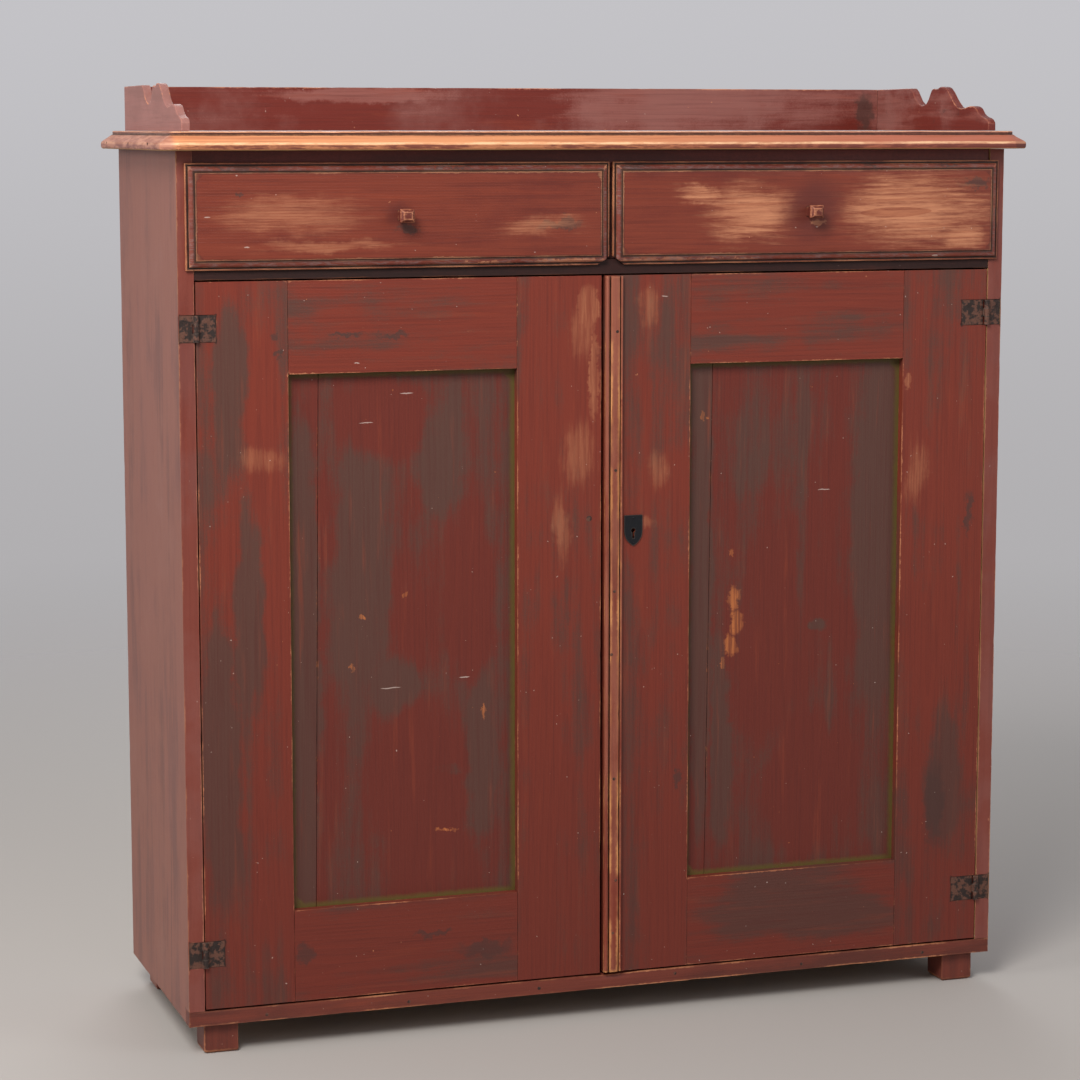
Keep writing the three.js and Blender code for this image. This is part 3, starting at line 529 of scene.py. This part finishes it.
def raw_pine(name):
    """Pine that was never painted, darkened by age and handling."""
    t = Tree(name)
    wood, rings, fibres = pine(t, AGED_PINE, AGED_RING)
    stain = t.noise(t.place, 6.0, 5.0, 0.6)
    colour = t.mix(t.step(stain, 0.45, 0.75, 0.0, 0.5), wood, PINE_STAIN)
    near_edge = t.step(t.edge, 0.5 * MM, 4 * MM, 0.35, 0.0)
    colour = t.mix(near_edge, colour, AGED_EDGE)
    grime = t.step(t.noise(t.place, 160.0, 3.0), 0.66, 0.8, 0.0, 0.4)
    colour = t.mix(grime, colour, PINE_GRIME)
    t.put(t.shader.inputs["Base Color"], colour)
    t.put(t.shader.inputs["Roughness"], t.step(stain, 0.3, 0.7, 0.62, 0.78))
    t.put(t.shader.inputs["Normal"], t.bump(t.math("MULTIPLY_ADD", fibres, 0.6, rings), 0.25 * MM))
    return t.material


def iron(name, metal, rust, rust_share, rough):
    """Hand-forged iron: dark, pitted, with rust and specks of paint."""
    t = Tree(name)
    patch = t.noise(t.place, 90.0, 5.0, 0.65)
    low = 0.72 - 0.3 * rust_share
    rusty = t.step(patch, low - 0.05, low + 0.05)
    pits = t.noise(t.place, 900.0, 3.0, 0.6)
    colour = t.mix(rusty, metal, rust)
    colour = t.mix(t.step(pits, 0.5, 0.75, 0.0, 0.5), colour, DIRT_AND_SHADE)
    worn = t.step(t.edge, 0.1 * MM, 1.2 * MM, 0.5, 0.0)
    colour = t.mix(worn, colour, WORN_IRON)
    t.put(t.shader.inputs["Base Color"], colour)
    t.put(t.shader.inputs["Metallic"], t.step(rusty, 0.0, 1.0, 0.7, 0.1))
    t.put(t.shader.inputs["Roughness"], t.math("MULTIPLY_ADD", pits, 0.3, rough, clamp=True))
    t.put(t.shader.inputs["Normal"], t.bump(t.math("MULTIPLY_ADD", pits, 0.6, patch), 0.5 * MM))
    return t.material


# One finish for each slot, a few for boards that have worn differently, darker copies that paint shade on
# the rails and between the drawers, and a pale copy that paints a sheen on the left gallery side
materials = {
    # The side boards' pale mauve coat and its blotches are a painted sheen of the light from the left;
    # their front faces keep the red front coat
    "carcase_paint": painted(
        "carcase_paint", rgb(138, 88, 74), rgb(110, 72, 63), 0.4, rub=0.75, gloss=0.44, streaks=0.25,
        sheen=0.22, edge_reach=1.2, light=rgb(182, 126, 96), late=rgb(142, 88, 64),
        front_coat=rgb(122, 60, 49), crack=True),
    "rail_paint": painted(
        "rail_paint", rgb(112, 54, 42), rgb(88, 46, 38), 0.5, edge_reach=1.6, light=rgb(188, 128, 92)),
    "door_paint": painted(
        "door_paint", RED, GREY_BROWN, 0.42, gloss=0.45, light=rgb(182, 118, 84), late=rgb(146, 84, 58),
        bare_marks=DOOR_BARE, rubbed_marks=DOOR_RUBBED, slate_marks=DOOR_SLATE, second_marks=DOOR_GREY,
        rubbed_share=0.4, bare_share=0.66, low_shade=0.34),
    "panel_paint": painted(
        "panel_paint", DEEP_RED, GREY_BROWN, 0.6, rub=0.5, gloss=0.5, light=ORANGE_WOOD, corner=OLIVE,
        bare_marks=PANEL_BARE, second_marks=PANEL_GREY, main_marks=PANEL_RED, low_shade=0.2),
    "drawer_paint": painted(
        "drawer_paint", rgb(122, 54, 38), DEEP_RED, 0.42, gloss=0.38, streaks=0.6, light=rgb(204, 140, 104),
        late=rgb(168, 98, 68), bare_marks=DRAWER_BARE, rubbed_marks=DRAWER_RUBBED, slate_marks=DRAWER_DARK,
        plum_marks=DRAWER_PLUM, rubbed_share=0.85, left_share=0.5, edge_reach=1.2, bands=lip_bands),
    "top_paint": painted(
        "top_paint", rgb(128, 62, 48), rgb(150, 88, 70), 0.4, gloss=0.4, edge_reach=1.4,
        bands=moulding_bands),
    "strip_paint": painted("strip_paint", rgb(146, 84, 66), RED, 0.5, edge_reach=2.6),
    # Painted shade: a darker copy of the paint for the top rail under the top's overhang, over paint that
    # is darker as well
    "shade_paint": painted(
        "shade_paint", rgb(122, 56, 50), rgb(84, 44, 42), 0.5, rub=0.5, streaks=0.3,
        corner=rgb(78, 38, 34)),
    # Painted shade: a near-black copy for the mid rail, the drawer partition and the kicker, in the shade
    # of the drawers, over dark paint
    "gap_paint": painted(
        "gap_paint", rgb(52, 22, 17), rgb(38, 19, 16), 0.5, rub=0.6, gloss=0.6, streaks=0.3,
        light=rgb(150, 90, 62), corner=rgb(26, 12, 10)),
    # The gallery's extra second coat towards the right paints a sheen, and its slate mark paints shade in
    # the right inner corner
    "gallery_paint": painted(
        "gallery_paint", rgb(110, 42, 33), rgb(142, 88, 80), 0.18, light=rgb(200, 136, 104), sheen=0.3,
        slate_marks=GALLERY_CORNER_SHADE, second_marks=GALLERY_SHEEN, edge_reach=1.2),
    # Painted sheen: the left gallery side drawn pale and mauve, like the side boards
    "mauve_paint": painted(
        "mauve_paint", rgb(156, 106, 98), rgb(138, 94, 86), 0.4, gloss=0.44, streaks=0.2,
        light=rgb(200, 136, 104), sheen=0.3),
    "raw_pine": raw_pine("raw_pine"),
    "old_iron": iron("old_iron", IRON, RUST, 0.7, 0.5),
    "black_iron": iron("black_iron", BLACK_IRON, RUST, 0.15, 0.36),
}


# Shapes
BOARD_ARRIS = 1.3 * MM
IRON_ARRIS = 0.35 * MM
FACING = 0.6
SHARP = math.radians(24)
SMOOTH = math.radians(38)
FLAT = math.radians(0.3)
FAR = 60 * MM
TINY = 0.0005 * MM
COVER = 0.8 * MM
COVERED_EDGE = 1.4 * MM
WELD = 0.004 * MM


def solid_of(node):
    """A node's own solid, with its flat faces whole."""
    shape = bmesh.new()
    shape.from_mesh(nodes[node].data)
    bmesh.ops.remove_doubles(shape, verts=shape.verts, dist=WELD)
    bmesh.ops.dissolve_limit(shape, angle_limit=FLAT, verts=shape.verts, edges=shape.edges)
    return shape


def arrises(shape):
    return [e for e in shape.edges if e.is_manifold and e.calc_face_angle_signed() > SHARP]


def hollows(shape):
    return [e for e in shape.edges if e.is_manifold and e.calc_face_angle_signed() < -SHARP]


def ends_of(edges):
    return [(np.array(e.verts[0].co), np.array(e.verts[1].co)) for e in edges]


def covered(points, node):
    """Which points lie against another piece of the same body, where nothing rubs."""
    found = np.zeros(len(points), bool)
    for other, body in body_of_node.items():
        if other != node and body == body_of_node[node]:
            low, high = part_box(other)
            inside = (points > np.array(low) - COVER) & (points < np.array(high) + COVER)
            found |= inside.all(axis=1)
    return found


def convex(face):
    """Whether every corner of a face turns the same way."""
    corners = [v.co for v in face.verts]
    count = len(corners)
    for i in range(count):
        before, here, after = corners[i - 1], corners[i], corners[(i + 1) % count]
        if (here - before).cross(after - here).dot(face.normal) < -1e-12:
            return False
    return True


def halves(corners, axis, place):
    """The two parts of a convex face on either side of a place along an axis."""
    below, above = [], []
    for a, b in zip(corners, corners[1:] + corners[:1]):
        gap_a, gap_b = a[axis] - place, b[axis] - place
        if gap_a <= TINY:
            below.append(a)
        if gap_a >= -TINY:
            above.append(a)
        if gap_a * gap_b < 0 and min(abs(gap_a), abs(gap_b)) > TINY:
            met = tuple(p + (q - p) * gap_a / (gap_a - gap_b) for p, q in zip(a, b))
            below.append(met)
            above.append(met)
    return below, above


def slice_up(shape, spacing, margins):
    """Cuts every face across at even steps, and close to the ends, so that it can wear unevenly."""
    hollow = [face for face in shape.faces if not convex(face)]
    bmesh.ops.triangulate(shape, faces=hollow, ngon_method="EAR_CLIP")
    faces = [[tuple(v.co) for v in face.verts] for face in shape.faces]
    low = [min(v.co[axis] for v in shape.verts) for axis in (X, Y, Z)]
    high = [max(v.co[axis] for v in shape.verts) for axis in (X, Y, Z)]
    for axis in (X, Y, Z):
        length = high[axis] - low[axis]
        steps = max(1, round(length / spacing))
        places = [low[axis] + length * i / steps for i in range(1, steps)]
        near = [m for m in margins if m < length / 2]
        places = [p for p in places if not near or near[-1] < p - low[axis] < length - near[-1]]
        places += [low[axis] + m for m in near] + [high[axis] - m for m in near]
        cut = []
        for corners in faces:
            reach = [corner[axis] for corner in corners]
            for place in sorted(p for p in places if min(reach) + TINY < p < max(reach) - TINY):
                below, corners = halves(corners, axis, place)
                cut.append(below)
            cut.append(corners)
        faces = cut
    shape.clear()
    made = {}
    for corners in faces:
        keys = [tuple(round(c / TINY) for c in corner) for corner in corners]
        for key, corner in zip(keys, corners):
            if key not in made:
                made[key] = shape.verts.new(corner)
        ring = [made[key] for i, key in enumerate(keys) if key != keys[i - 1]]
        if len(set(ring)) == len(ring) > 2 and shape.faces.get(ring) is None:
            shape.faces.new(ring)
    bmesh.ops.remove_doubles(shape, verts=shape.verts, dist=WELD)


def nearest(points, segments):
    """How far each point is from the nearest of the segments, each a start and an end."""
    best = np.full(len(points), FAR)
    for start, end in segments:
        along = end - start
        share = np.clip(((points - start) @ along) / max(along @ along, 1e-12), 0, 1)
        best = np.minimum(best, np.linalg.norm(points - start - share[:, None] * along, axis=1))
    return best


def grain_of(name, points, along=None):
    """Each point's place in the log that the board was sawn from: along it, and away from its pith."""
    low, high = points.min(0), points.max(0)
    size = high - low
    order = list(np.argsort(-size, kind="stable"))
    if along is not None:
        order.remove(along)
        order.insert(0, along)
    rng = random.Random(zlib.crc32(name.encode()))
    centre = (low + high) / 2
    grain = (points - centre)[:, order]
    grain[:, 0] += rng.uniform(5, 90)
    grain[:, 1] += rng.uniform(-0.3, 0.3) * size[order[1]]
    grain[:, 2] += rng.choice((-1, 1)) * rng.uniform(0.02, 0.07)
    return grain


def set_values(mesh, name, kind, domain, values):
    layer = mesh.attributes.new(name, kind, domain)
    field = "vector" if kind == "FLOAT_VECTOR" else "value"
    layer.data.foreach_set(field, np.asarray(values, np.float32).ravel())


def lip_inset(points, node):
    """How far each point of a drawer's front is inside its outline."""
    if not node or not node.endswith("_front"):
        return np.full(len(points), FAR)
    low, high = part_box(node)
    across = np.minimum(points[:, X] - low.x, high.x - points[:, X])
    up = np.minimum(points[:, Z] - low.z, high.z - points[:, Z])
    return np.maximum(np.minimum(across, up), 0)


# Where the doors' meeting edges have worn the base rail
DIP_PLACE = 8 * MM
DIP_WIDTH = 26 * MM
DIP_DEPTH = 2.6 * MM
DIP_REACH = 4 * MM

# How a surface wears: a shallow hollow over all of it, and roughness and chips near an arris
HOLLOW_DEPTH = 0.12 * MM
WEAR_REACH = 2.2 * MM
WEAR_END = 14 * MM
ROUGHNESS = 0.5
CHIPPING = 3.2
CHIP_LIMIT = 0.6
CHIP_PLACE = Vector((7, 3, 1))


def wear_at(place, gap, wear):
    """How deep the surface has worn, at a place that far from the nearest arris."""
    hollow = HOLLOW_DEPTH * (1 + noise.noise(place * 4))
    if gap > WEAR_END:
        return hollow
    rough = max(0.0, noise.noise(place * 45) + 0.15)
    chip = max(0.0, noise.noise(place * 95 + CHIP_PLACE) - 0.32)
    worn = min(ROUGHNESS * rough + CHIPPING * chip, CHIP_LIMIT)
    return hollow + math.exp(-gap / WEAR_REACH) * wear * worn * MM


def make_piece(name, shape, body, slot, segments=(), along=None, wear=0.0, bare=None, rim=None, node=None,
               finish=None):
    """Turns a bmesh into a piece of the cupboard, worn, with the values that its material reads."""
    mesh = bpy.data.meshes.new(name)
    shape.normal_update()
    shape.to_mesh(mesh)
    shape.free()
    points = np.array([v.co for v in mesh.vertices], float).reshape(-1, 3)
    edge = nearest(points, segments)
    if node:
        edge = np.where(covered(points, node), np.maximum(edge, COVERED_EDGE), edge)
    grain = grain_of(name, points, along)
    if wear:
        normals = np.zeros(len(points) * 3, np.float32)
        mesh.vertices.foreach_get("normal", normals)
        depths = np.array([wear_at(Vector(p), gap, wear) for p, gap in zip(points, edge)])
        if node == "base_rail":
            beside = (points[:, X] - DIP_PLACE) / DIP_WIDTH
            top_edge = (edge < DIP_REACH) & (points[:, Z] > points[:, Z].mean())
            depths += DIP_DEPTH * np.exp(-beside ** 2) * top_edge
        moved = points - normals.reshape(-1, 3) * depths[:, None]
        mesh.vertices.foreach_set("co", moved.astype(np.float32).ravel())
    set_values(mesh, "grain", "FLOAT_VECTOR", "POINT", grain)
    set_values(mesh, "edge", "FLOAT", "POINT", edge)
    set_values(mesh, "rim", "FLOAT", "POINT", np.full(len(points), FAR) if rim is None else rim(points))
    faces = [bare(p.center, p.normal) if bare else 0.0 for p in mesh.polygons]
    set_values(mesh, "bare", "FLOAT", "FACE", faces)
    set_values(mesh, "front", "FLOAT", "FACE", [float(p.normal.y < -FACING) for p in mesh.polygons])
    set_values(mesh, "inset", "FLOAT", "POINT", lip_inset(points, node))
    mesh.polygons.foreach_set("use_smooth", [True] * len(mesh.polygons))
    mesh.set_sharp_from_angle(angle=SMOOTH)
    mesh.materials.append(materials[finish or slot])
    piece = bpy.data.objects.new(name, mesh)
    bpy.context.scene.collection.objects.link(piece)
    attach(piece, body)
    return piece


def never_painted(node, slot):
    """Which faces of a board face the inside of the cupboard, where no brush went."""
    low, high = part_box(node)
    if slot in ("door_paint", "panel_paint", "drawer_paint"):
        return lambda place, normal: float(normal.y > FACING)
    if node.startswith("side_"):
        inward = -1.0 if low.x > 0 else 1.0
        return lambda place, normal: float(normal.x * inward > FACING or normal.y > FACING)
    if node.endswith("_rail"):
        return lambda place, normal: float(normal.y > FACING)
    if node in ("drawer_partition", "drawer_kicker"):
        return lambda place, normal: float(normal.y > -FACING)
    if slot == "top_paint":
        return lambda place, normal: float(normal.z < -FACING or normal.y > FACING)
    return None


# How closely each finish's boards are cut up, and how round their arrises are
BOARD_SPACING = 12 * MM
SPACING = {"raw_pine": 24 * MM, "old_iron": 3 * MM, "black_iron": 3 * MM}
BOARD_MARGINS = (3 * MM, 6 * MM)
IRON_MARGINS = (1.2 * MM,)
ARRIS = {"door_paint": 0.8 * MM, "panel_paint": 0.6 * MM, "old_iron": IRON_ARRIS, "black_iron": IRON_ARRIS}
ARRIS_SEGMENTS = 3
ARRIS_PROFILE = 0.55
IRON_WEAR = 0.25
CORNER_START = 0.4 * MM
RIM_SPREAD = 2.4
# Rails drawn darker all over, as painted shade, by capping their distance from a corner
RAIL_SHADE_REACH = {"top_rail": 2.2 * MM, "mid_rail": 2.2 * MM}
FINISH = {
    "top_rail": "shade_paint",
    "mid_rail": "gap_paint",
    "drawer_partition": "gap_paint",
    "drawer_kicker": "gap_paint",
    "base_rail": "rail_paint",
    "foot_front_left": "rail_paint",
    "foot_front_right": "rail_paint",
    "closing_strip": "strip_paint",
    "gallery_side_left": "mauve_paint",
}


def panel_rim(node):
    """For a panel board: how far each point is inside its frame, shrunk so that the dirt and painted shade
    lie wide.
    """
    door = node[:len("door_left")] if node.startswith("door_left") else "door_right"
    stiles = [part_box(door + end) for end in ("_hinge_stile", "_meeting_stile")]
    left, right = sorted(stiles, key=lambda corners: corners[0].x)
    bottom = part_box(door + "_bottom_rail")[1].z
    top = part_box(door + "_top_rail")[0].z

    def rim(points):
        across = np.minimum(points[:, X] - left[1].x, right[0].x - points[:, X])
        up = np.minimum(points[:, Z] - bottom, top - points[:, Z])
        return np.maximum(np.minimum(across, up), 0) / RIM_SPREAD
    return rim


def corner_rim(node, hollow):
    """For any other piece: how far each point is from its nearest inner corner."""
    shade_reach = RAIL_SHADE_REACH.get(node, FAR)
    return lambda points: np.minimum(nearest(points, hollow) + CORNER_START, shade_reach)


for node in sorted(nodes):
    slot = slot_of_node[node]
    metal = slot.endswith("iron")
    shape = solid_of(node)
    worn_edges = arrises(shape)
    segments = ends_of(worn_edges)
    hollow_ends = ends_of(hollows(shape))
    hidden = covered(np.array(segments).reshape(-1, 3), node).reshape(-1, 2).all(axis=1)
    rounded = [e for e, under in zip(worn_edges, hidden) if not under]
    bmesh.ops.bevel(shape, geom=rounded, offset=ARRIS.get(slot, BOARD_ARRIS), segments=ARRIS_SEGMENTS,
                    profile=ARRIS_PROFILE, affect="EDGES", clamp_overlap=True)
    slice_up(shape, SPACING.get(slot, BOARD_SPACING), IRON_MARGINS if metal else BOARD_MARGINS)
    along = Z if node.startswith("foot_") else None
    rim = panel_rim(node) if slot == "panel_paint" else corner_rim(node, hollow_ends)
    piece = make_piece(node + "_worn", shape, body_of_node[node], slot, segments, along,
                       wear=IRON_WEAR if metal else 1.0, bare=never_painted(node, slot), rim=rim, node=node,
                       finish=FINISH.get(node))
    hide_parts(node)


# Nails, screws and plugs
FRONT = (0, -1, 0)
CARCASE_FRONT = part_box("base_rail")[0].y
NAIL_SIDES = 10
NAIL_RADIUS = 2.4 * MM
SLOT_HALF = 0.16
SCREW_SPREAD = 10 * MM
SCREW_RADIUS = 3.1 * MM
LEAF_SUNK = 0.15 * MM

# Each nail's place in mm: right of the middle and above the floor, or how far back
STRIP_NAILS = [(11, 972), (8, 611), (4, 522), (11, 199), (7, 123), (9, 780), (8, 345)]
LEFT_END_NAILS = (171, 14, -119)
RIGHT_END_NAILS = (160, 20, -110)
PLUG_PLACE = (-27.5, 713.6)


def across_and_up(out):
    """Two directions square to the one that a head faces."""
    up = Vector((0, 0, 1)) if abs(out.z) < 0.9 else Vector((0, 1, 0))
    across = up.cross(out).normalized()
    return across, out.cross(across)


def add_head(shape, place, out, radius, height, turn, slotted):
    """A hand-made nail's domed head, or a screw's flat one with its slot."""
    out = Vector(out)
    across, up = across_and_up(out)
    rng = random.Random(round(place[0] * 1e5) + round(place[2] * 1e5) * 7)
    dents = [1 + rng.uniform(-0.07, 0.07) for _ in range(NAIL_SIDES)]

    def point(right, high, lift):
        c, s = math.cos(turn), math.sin(turn)
        flat = across * (right * c - high * s) + up * (right * s + high * c)
        return Vector(place) + flat * radius + out * (height * lift)

    if not slotted:
        rings = []
        for share, lift in ((1.0, -1.0), (1.02, 0.25), (0.86, 0.66), (0.5, 0.93)):
            angles = [2 * math.pi * i / NAIL_SIDES for i in range(NAIL_SIDES)]
            rings.append([shape.verts.new(point(share * d * math.cos(a), share * d * math.sin(a), lift))
                          for a, d in zip(angles, dents)])
        for low, high in zip(rings, rings[1:]):
            for i in range(NAIL_SIDES):
                j = (i + 1) % NAIL_SIDES
                shape.faces.new((low[i], low[j], high[j], high[i]))
        shape.faces.new(rings[-1])
        shape.faces.new(rings[0][::-1])
        return
    for side in (1, -1):
        start = math.asin(SLOT_HALF)
        sweep = [start + (math.pi - 2 * start) * i / NAIL_SIDES for i in range(NAIL_SIDES + 1)]
        outline = [(math.cos(a) * side, math.sin(a) * side) for a in sweep]
        drawn_in = [(right * 0.93, high * 0.93 + side * 0.01) for right, high in outline]
        low = [shape.verts.new(point(right, high, -1.0)) for right, high in outline]
        top = [shape.verts.new(point(right, high, 1.0)) for right, high in drawn_in]
        shape.faces.new(top)
        shape.faces.new(low[::-1])
        for i in range(len(outline)):
            j = (i + 1) % len(outline)
            shape.faces.new((low[i], low[j], top[j], top[i]))


def make_heads(name, body, slot, heads):
    """One piece with all of a body's nail or screw heads of a kind."""
    shape = bmesh.new()
    for place, out, radius, height, turn, slotted in heads:
        add_head(shape, place, out, radius, height, turn, slotted)
    bmesh.ops.recalc_face_normals(shape, faces=shape.faces)
    make_piece(name, shape, body, slot)


def hinge_screws():
    """Two screws in each hinge leaf, let in flush with the iron."""
    heads = {"carcase": [], "door_left": [], "door_right": []}
    for hand, door_share, frame_share in (("left", 0.7, 0.24), ("right", 0.3, 0.76)):
        for level in ("lower", "upper"):
            door_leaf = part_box(f"hinge_{hand}_{level}_door_leaf")
            frame_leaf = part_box(f"hinge_{hand}_{level}_frame_leaf")
            middle = (frame_leaf[0].z + frame_leaf[1].z) / 2
            leaves = ((f"door_{hand}", door_leaf, door_share), ("carcase", frame_leaf, frame_share))
            for body, (low, high), share in leaves:
                right = low.x + (high.x - low.x) * share
                for drop, turn in ((-SCREW_SPREAD, 0.5), (SCREW_SPREAD, 1.9)):
                    place = (right, CARCASE_FRONT + LEAF_SUNK, middle + drop)
                    heads[body].append((place, FRONT, SCREW_RADIUS, 0.22 * MM, turn + right * 9, True))
    for body, found in heads.items():
        make_heads(f"hinge_screws_{body}", body, "old_iron", found)


def nails_along(left, right, count, y, z, out):
    """A row of nails, not quite in line."""
    rng = random.Random(round(z * 1000) + count)
    steps = [left + (right - left) * (i + 0.5) / count for i in range(count)]
    return [((x + rng.uniform(-6, 6) * MM, y, z + rng.uniform(-3, 3) * MM), out, NAIL_RADIUS, 0.2 * MM,
             rng.uniform(0, 3), False) for x in steps]


def strip_nails():
    """The nails that hold the closing strip, sunk a little into its reeds."""
    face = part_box("closing_strip")[0].y + 0.35 * MM
    heads = [((x * MM, face, z * MM), FRONT, 2.3 * MM, 0.5 * MM, x, False) for x, z in STRIP_NAILS]
    make_heads("closing_strip_nails", "door_right", "old_iron", heads)


def escutcheon_pins():
    low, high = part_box("escutcheon")
    middle = (low.x + high.x) / 2
    heads = [((middle, low.y - 0.1 * MM, z), FRONT, 1.3 * MM, 0.5 * MM, 0.0, False)
             for z in (low.z + 4 * MM, high.z - 4 * MM)]
    make_heads("escutcheon_pins", "door_right", "black_iron", heads)


def door_plug():
    """The plugged hole beside the left door's meeting edge."""
    right, up = PLUG_PLACE
    place = (right * MM, CARCASE_FRONT + 0.1 * MM, up * MM)
    make_heads("door_left_plug", "door_left", "old_iron", [(place, FRONT, 4 * MM, 0.3 * MM, 0.4, False)])


def moulding_nails():
    low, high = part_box("top_board")
    level = low.z + 8 * MM
    heads = []
    ends = ((low.x + 0.3 * MM, -1, LEFT_END_NAILS), (high.x - 0.3 * MM, 1, RIGHT_END_NAILS))
    for face, outward, places in ends:
        for back in places:
            place = (face, back * MM, level)
            heads.append((place, (outward, 0, 0), 2.2 * MM, 0.25 * MM, back * MM, False))
    make_heads("top_moulding_nails", "carcase", "old_iron", heads)


def base_nails():
    low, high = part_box("base_rail")
    level = (low.z + high.z) / 2
    heads = nails_along(low.x + 8 * MM, high.x - 8 * MM, 6, low.y + 0.15 * MM, level, FRONT)
    make_heads("base_rail_nails", "carcase", "old_iron", heads)


def back_nails():
    """Two nails through each back plank into each board behind it."""
    heads = []
    for plank in range(1, 5):
        low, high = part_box(f"back_plank_{plank}")
        face = high.y - 0.25 * MM
        for board in ("bottom_board", "shelf_lower", "shelf_upper", "drawer_board"):
            level = sum(corner.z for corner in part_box(board)) / 2
            heads += nails_along(low.x + 20 * MM, high.x - 20 * MM, 2, face, level, (0, 1, 0))
    make_heads("back_nails", "carcase", "old_iron", heads)


hinge_screws()
strip_nails()
escutcheon_pins()
door_plug()
moulding_nails()
base_nails()
back_nails()


# The floor, the light and the camera
FLOOR_RADIUS = 5.0
FLOOR_FADE = 0.9
FLOOR_GREY = rgb(172, 168, 164)
BACKDROP_LOW = rgb(177, 175, 177)
BACKDROP_HIGH = rgb(196, 195, 199)
AMBIENT = 0.58


def make_floor():
    shape = bmesh.new()
    bmesh.ops.create_circle(shape, cap_ends=True, segments=96, radius=FLOOR_RADIUS)
    mesh = bpy.data.meshes.new("floor")
    shape.to_mesh(mesh)
    shape.free()
    material = bpy.data.materials.new("floor")
    material.use_nodes = True
    tree = material.node_tree
    shader = tree.nodes["Principled BSDF"]
    shader.inputs["Base Color"].default_value = FLOOR_GREY
    shader.inputs["Roughness"].default_value = 0.75
    place = tree.nodes.new("ShaderNodeTexCoord").outputs["Object"]
    away = tree.nodes.new("ShaderNodeVectorMath")
    away.operation = "LENGTH"
    tree.links.new(place, away.inputs[0])
    fade = tree.nodes.new("ShaderNodeMapRange")
    fade.interpolation_type = "SMOOTHSTEP"
    fade.inputs["From Min"].default_value = FLOOR_FADE
    fade.inputs["From Max"].default_value = FLOOR_RADIUS * 0.97
    tree.links.new(away.outputs["Value"], fade.inputs["Value"])
    clear = tree.nodes.new("ShaderNodeBsdfTransparent")
    both = tree.nodes.new("ShaderNodeMixShader")
    tree.links.new(fade.outputs["Result"], both.inputs[0])
    tree.links.new(shader.outputs[0], both.inputs[1])
    tree.links.new(clear.outputs[0], both.inputs[2])
    tree.links.new(both.outputs[0], tree.nodes["Material Output"].inputs["Surface"])
    mesh.materials.append(material)
    floor = bpy.data.objects.new("floor", mesh)
    bpy.context.scene.collection.objects.link(floor)


def soft_light(name, place, aim, width, watts, colour):
    lamp = bpy.data.lights.new(name, "AREA")
    lamp.shape = "DISK"
    lamp.size = width
    lamp.energy = watts
    lamp.color = colour
    holder = bpy.data.objects.new(name, lamp)
    holder.location = place
    holder.rotation_euler = (Vector(aim) - Vector(place)).to_track_quat("-Z", "Y").to_euler()
    bpy.context.scene.collection.objects.link(holder)


def make_world():
    """A studio, paler towards the top, that shows at full strength but lights at a lower one."""
    world = bpy.data.worlds.new("studio")
    bpy.context.scene.world = world
    world.use_nodes = True
    tree = world.node_tree
    background = tree.nodes["Background"]
    ray = tree.nodes.new("ShaderNodeSeparateXYZ")
    tree.links.new(tree.nodes.new("ShaderNodeTexCoord").outputs["Generated"], ray.inputs[0])
    rise = tree.nodes.new("ShaderNodeMapRange")
    rise.interpolation_type = "SMOOTHSTEP"
    rise.inputs["From Min"].default_value = -0.15
    rise.inputs["From Max"].default_value = 0.06
    tree.links.new(ray.outputs["Z"], rise.inputs["Value"])
    shade = tree.nodes.new("ShaderNodeMix")
    shade.data_type = "RGBA"
    shade.inputs[6].default_value = BACKDROP_LOW
    shade.inputs[7].default_value = BACKDROP_HIGH
    tree.links.new(rise.outputs["Result"], shade.inputs[0])
    tree.links.new(shade.outputs[2], background.inputs["Color"])
    path = tree.nodes.new("ShaderNodeLightPath")
    shown = path.outputs["Is Camera Ray"]
    for ray in ("Is Glossy Ray", "Is Transmission Ray"):
        either = tree.nodes.new("ShaderNodeMath")
        either.operation = "MAXIMUM"
        tree.links.new(shown, either.inputs[0])
        tree.links.new(path.outputs[ray], either.inputs[1])
        shown = either.outputs[0]
    strength = tree.nodes.new("ShaderNodeMapRange")
    strength.inputs["To Min"].default_value = AMBIENT
    tree.links.new(shown, strength.inputs["Value"])
    tree.links.new(strength.outputs["Result"], background.inputs["Strength"])


WARM = (1.0, 0.96, 0.92)
WHITE = (1.0, 1.0, 1.0)
make_floor()
make_world()
soft_light("key_light", (-1.9, -2.5, 3.3), (0, 0, 1.05), 1.7, 150, WARM)
soft_light("side_light", (-3.6, -0.6, 2.2), (0, 0, 1.1), 1.5, 42, WARM)
soft_light("fill_light", (3.0, -3.2, 2.4), (0, 0, 1.1), 2.2, 34, WHITE)
soft_light("back_light", (1.0, 4.0, 3.2), (0, 0, 0.85), 2.6, 60, WHITE)

# The camera stands a little to the left and looks slightly down.
CAMERA_PLACE = (-1.419, -4.0877, 1.2508)
CAMERA_YAW = math.radians(18.657)
CAMERA_PITCH = math.radians(7.783)
FOCAL_LENGTH = 100.77
camera = bpy.data.cameras.new("camera")
camera.lens = FOCAL_LENGTH
camera.sensor_width = 36.0
stand = bpy.data.objects.new("camera", camera)
stand.location = CAMERA_PLACE
stand.rotation_euler = Euler((math.pi / 2 - CAMERA_PITCH, 0.0, -CAMERA_YAW))
bpy.context.scene.collection.objects.link(stand)
bpy.context.scene.camera = stand
bpy.context.scene.view_settings.view_transform = "Standard"
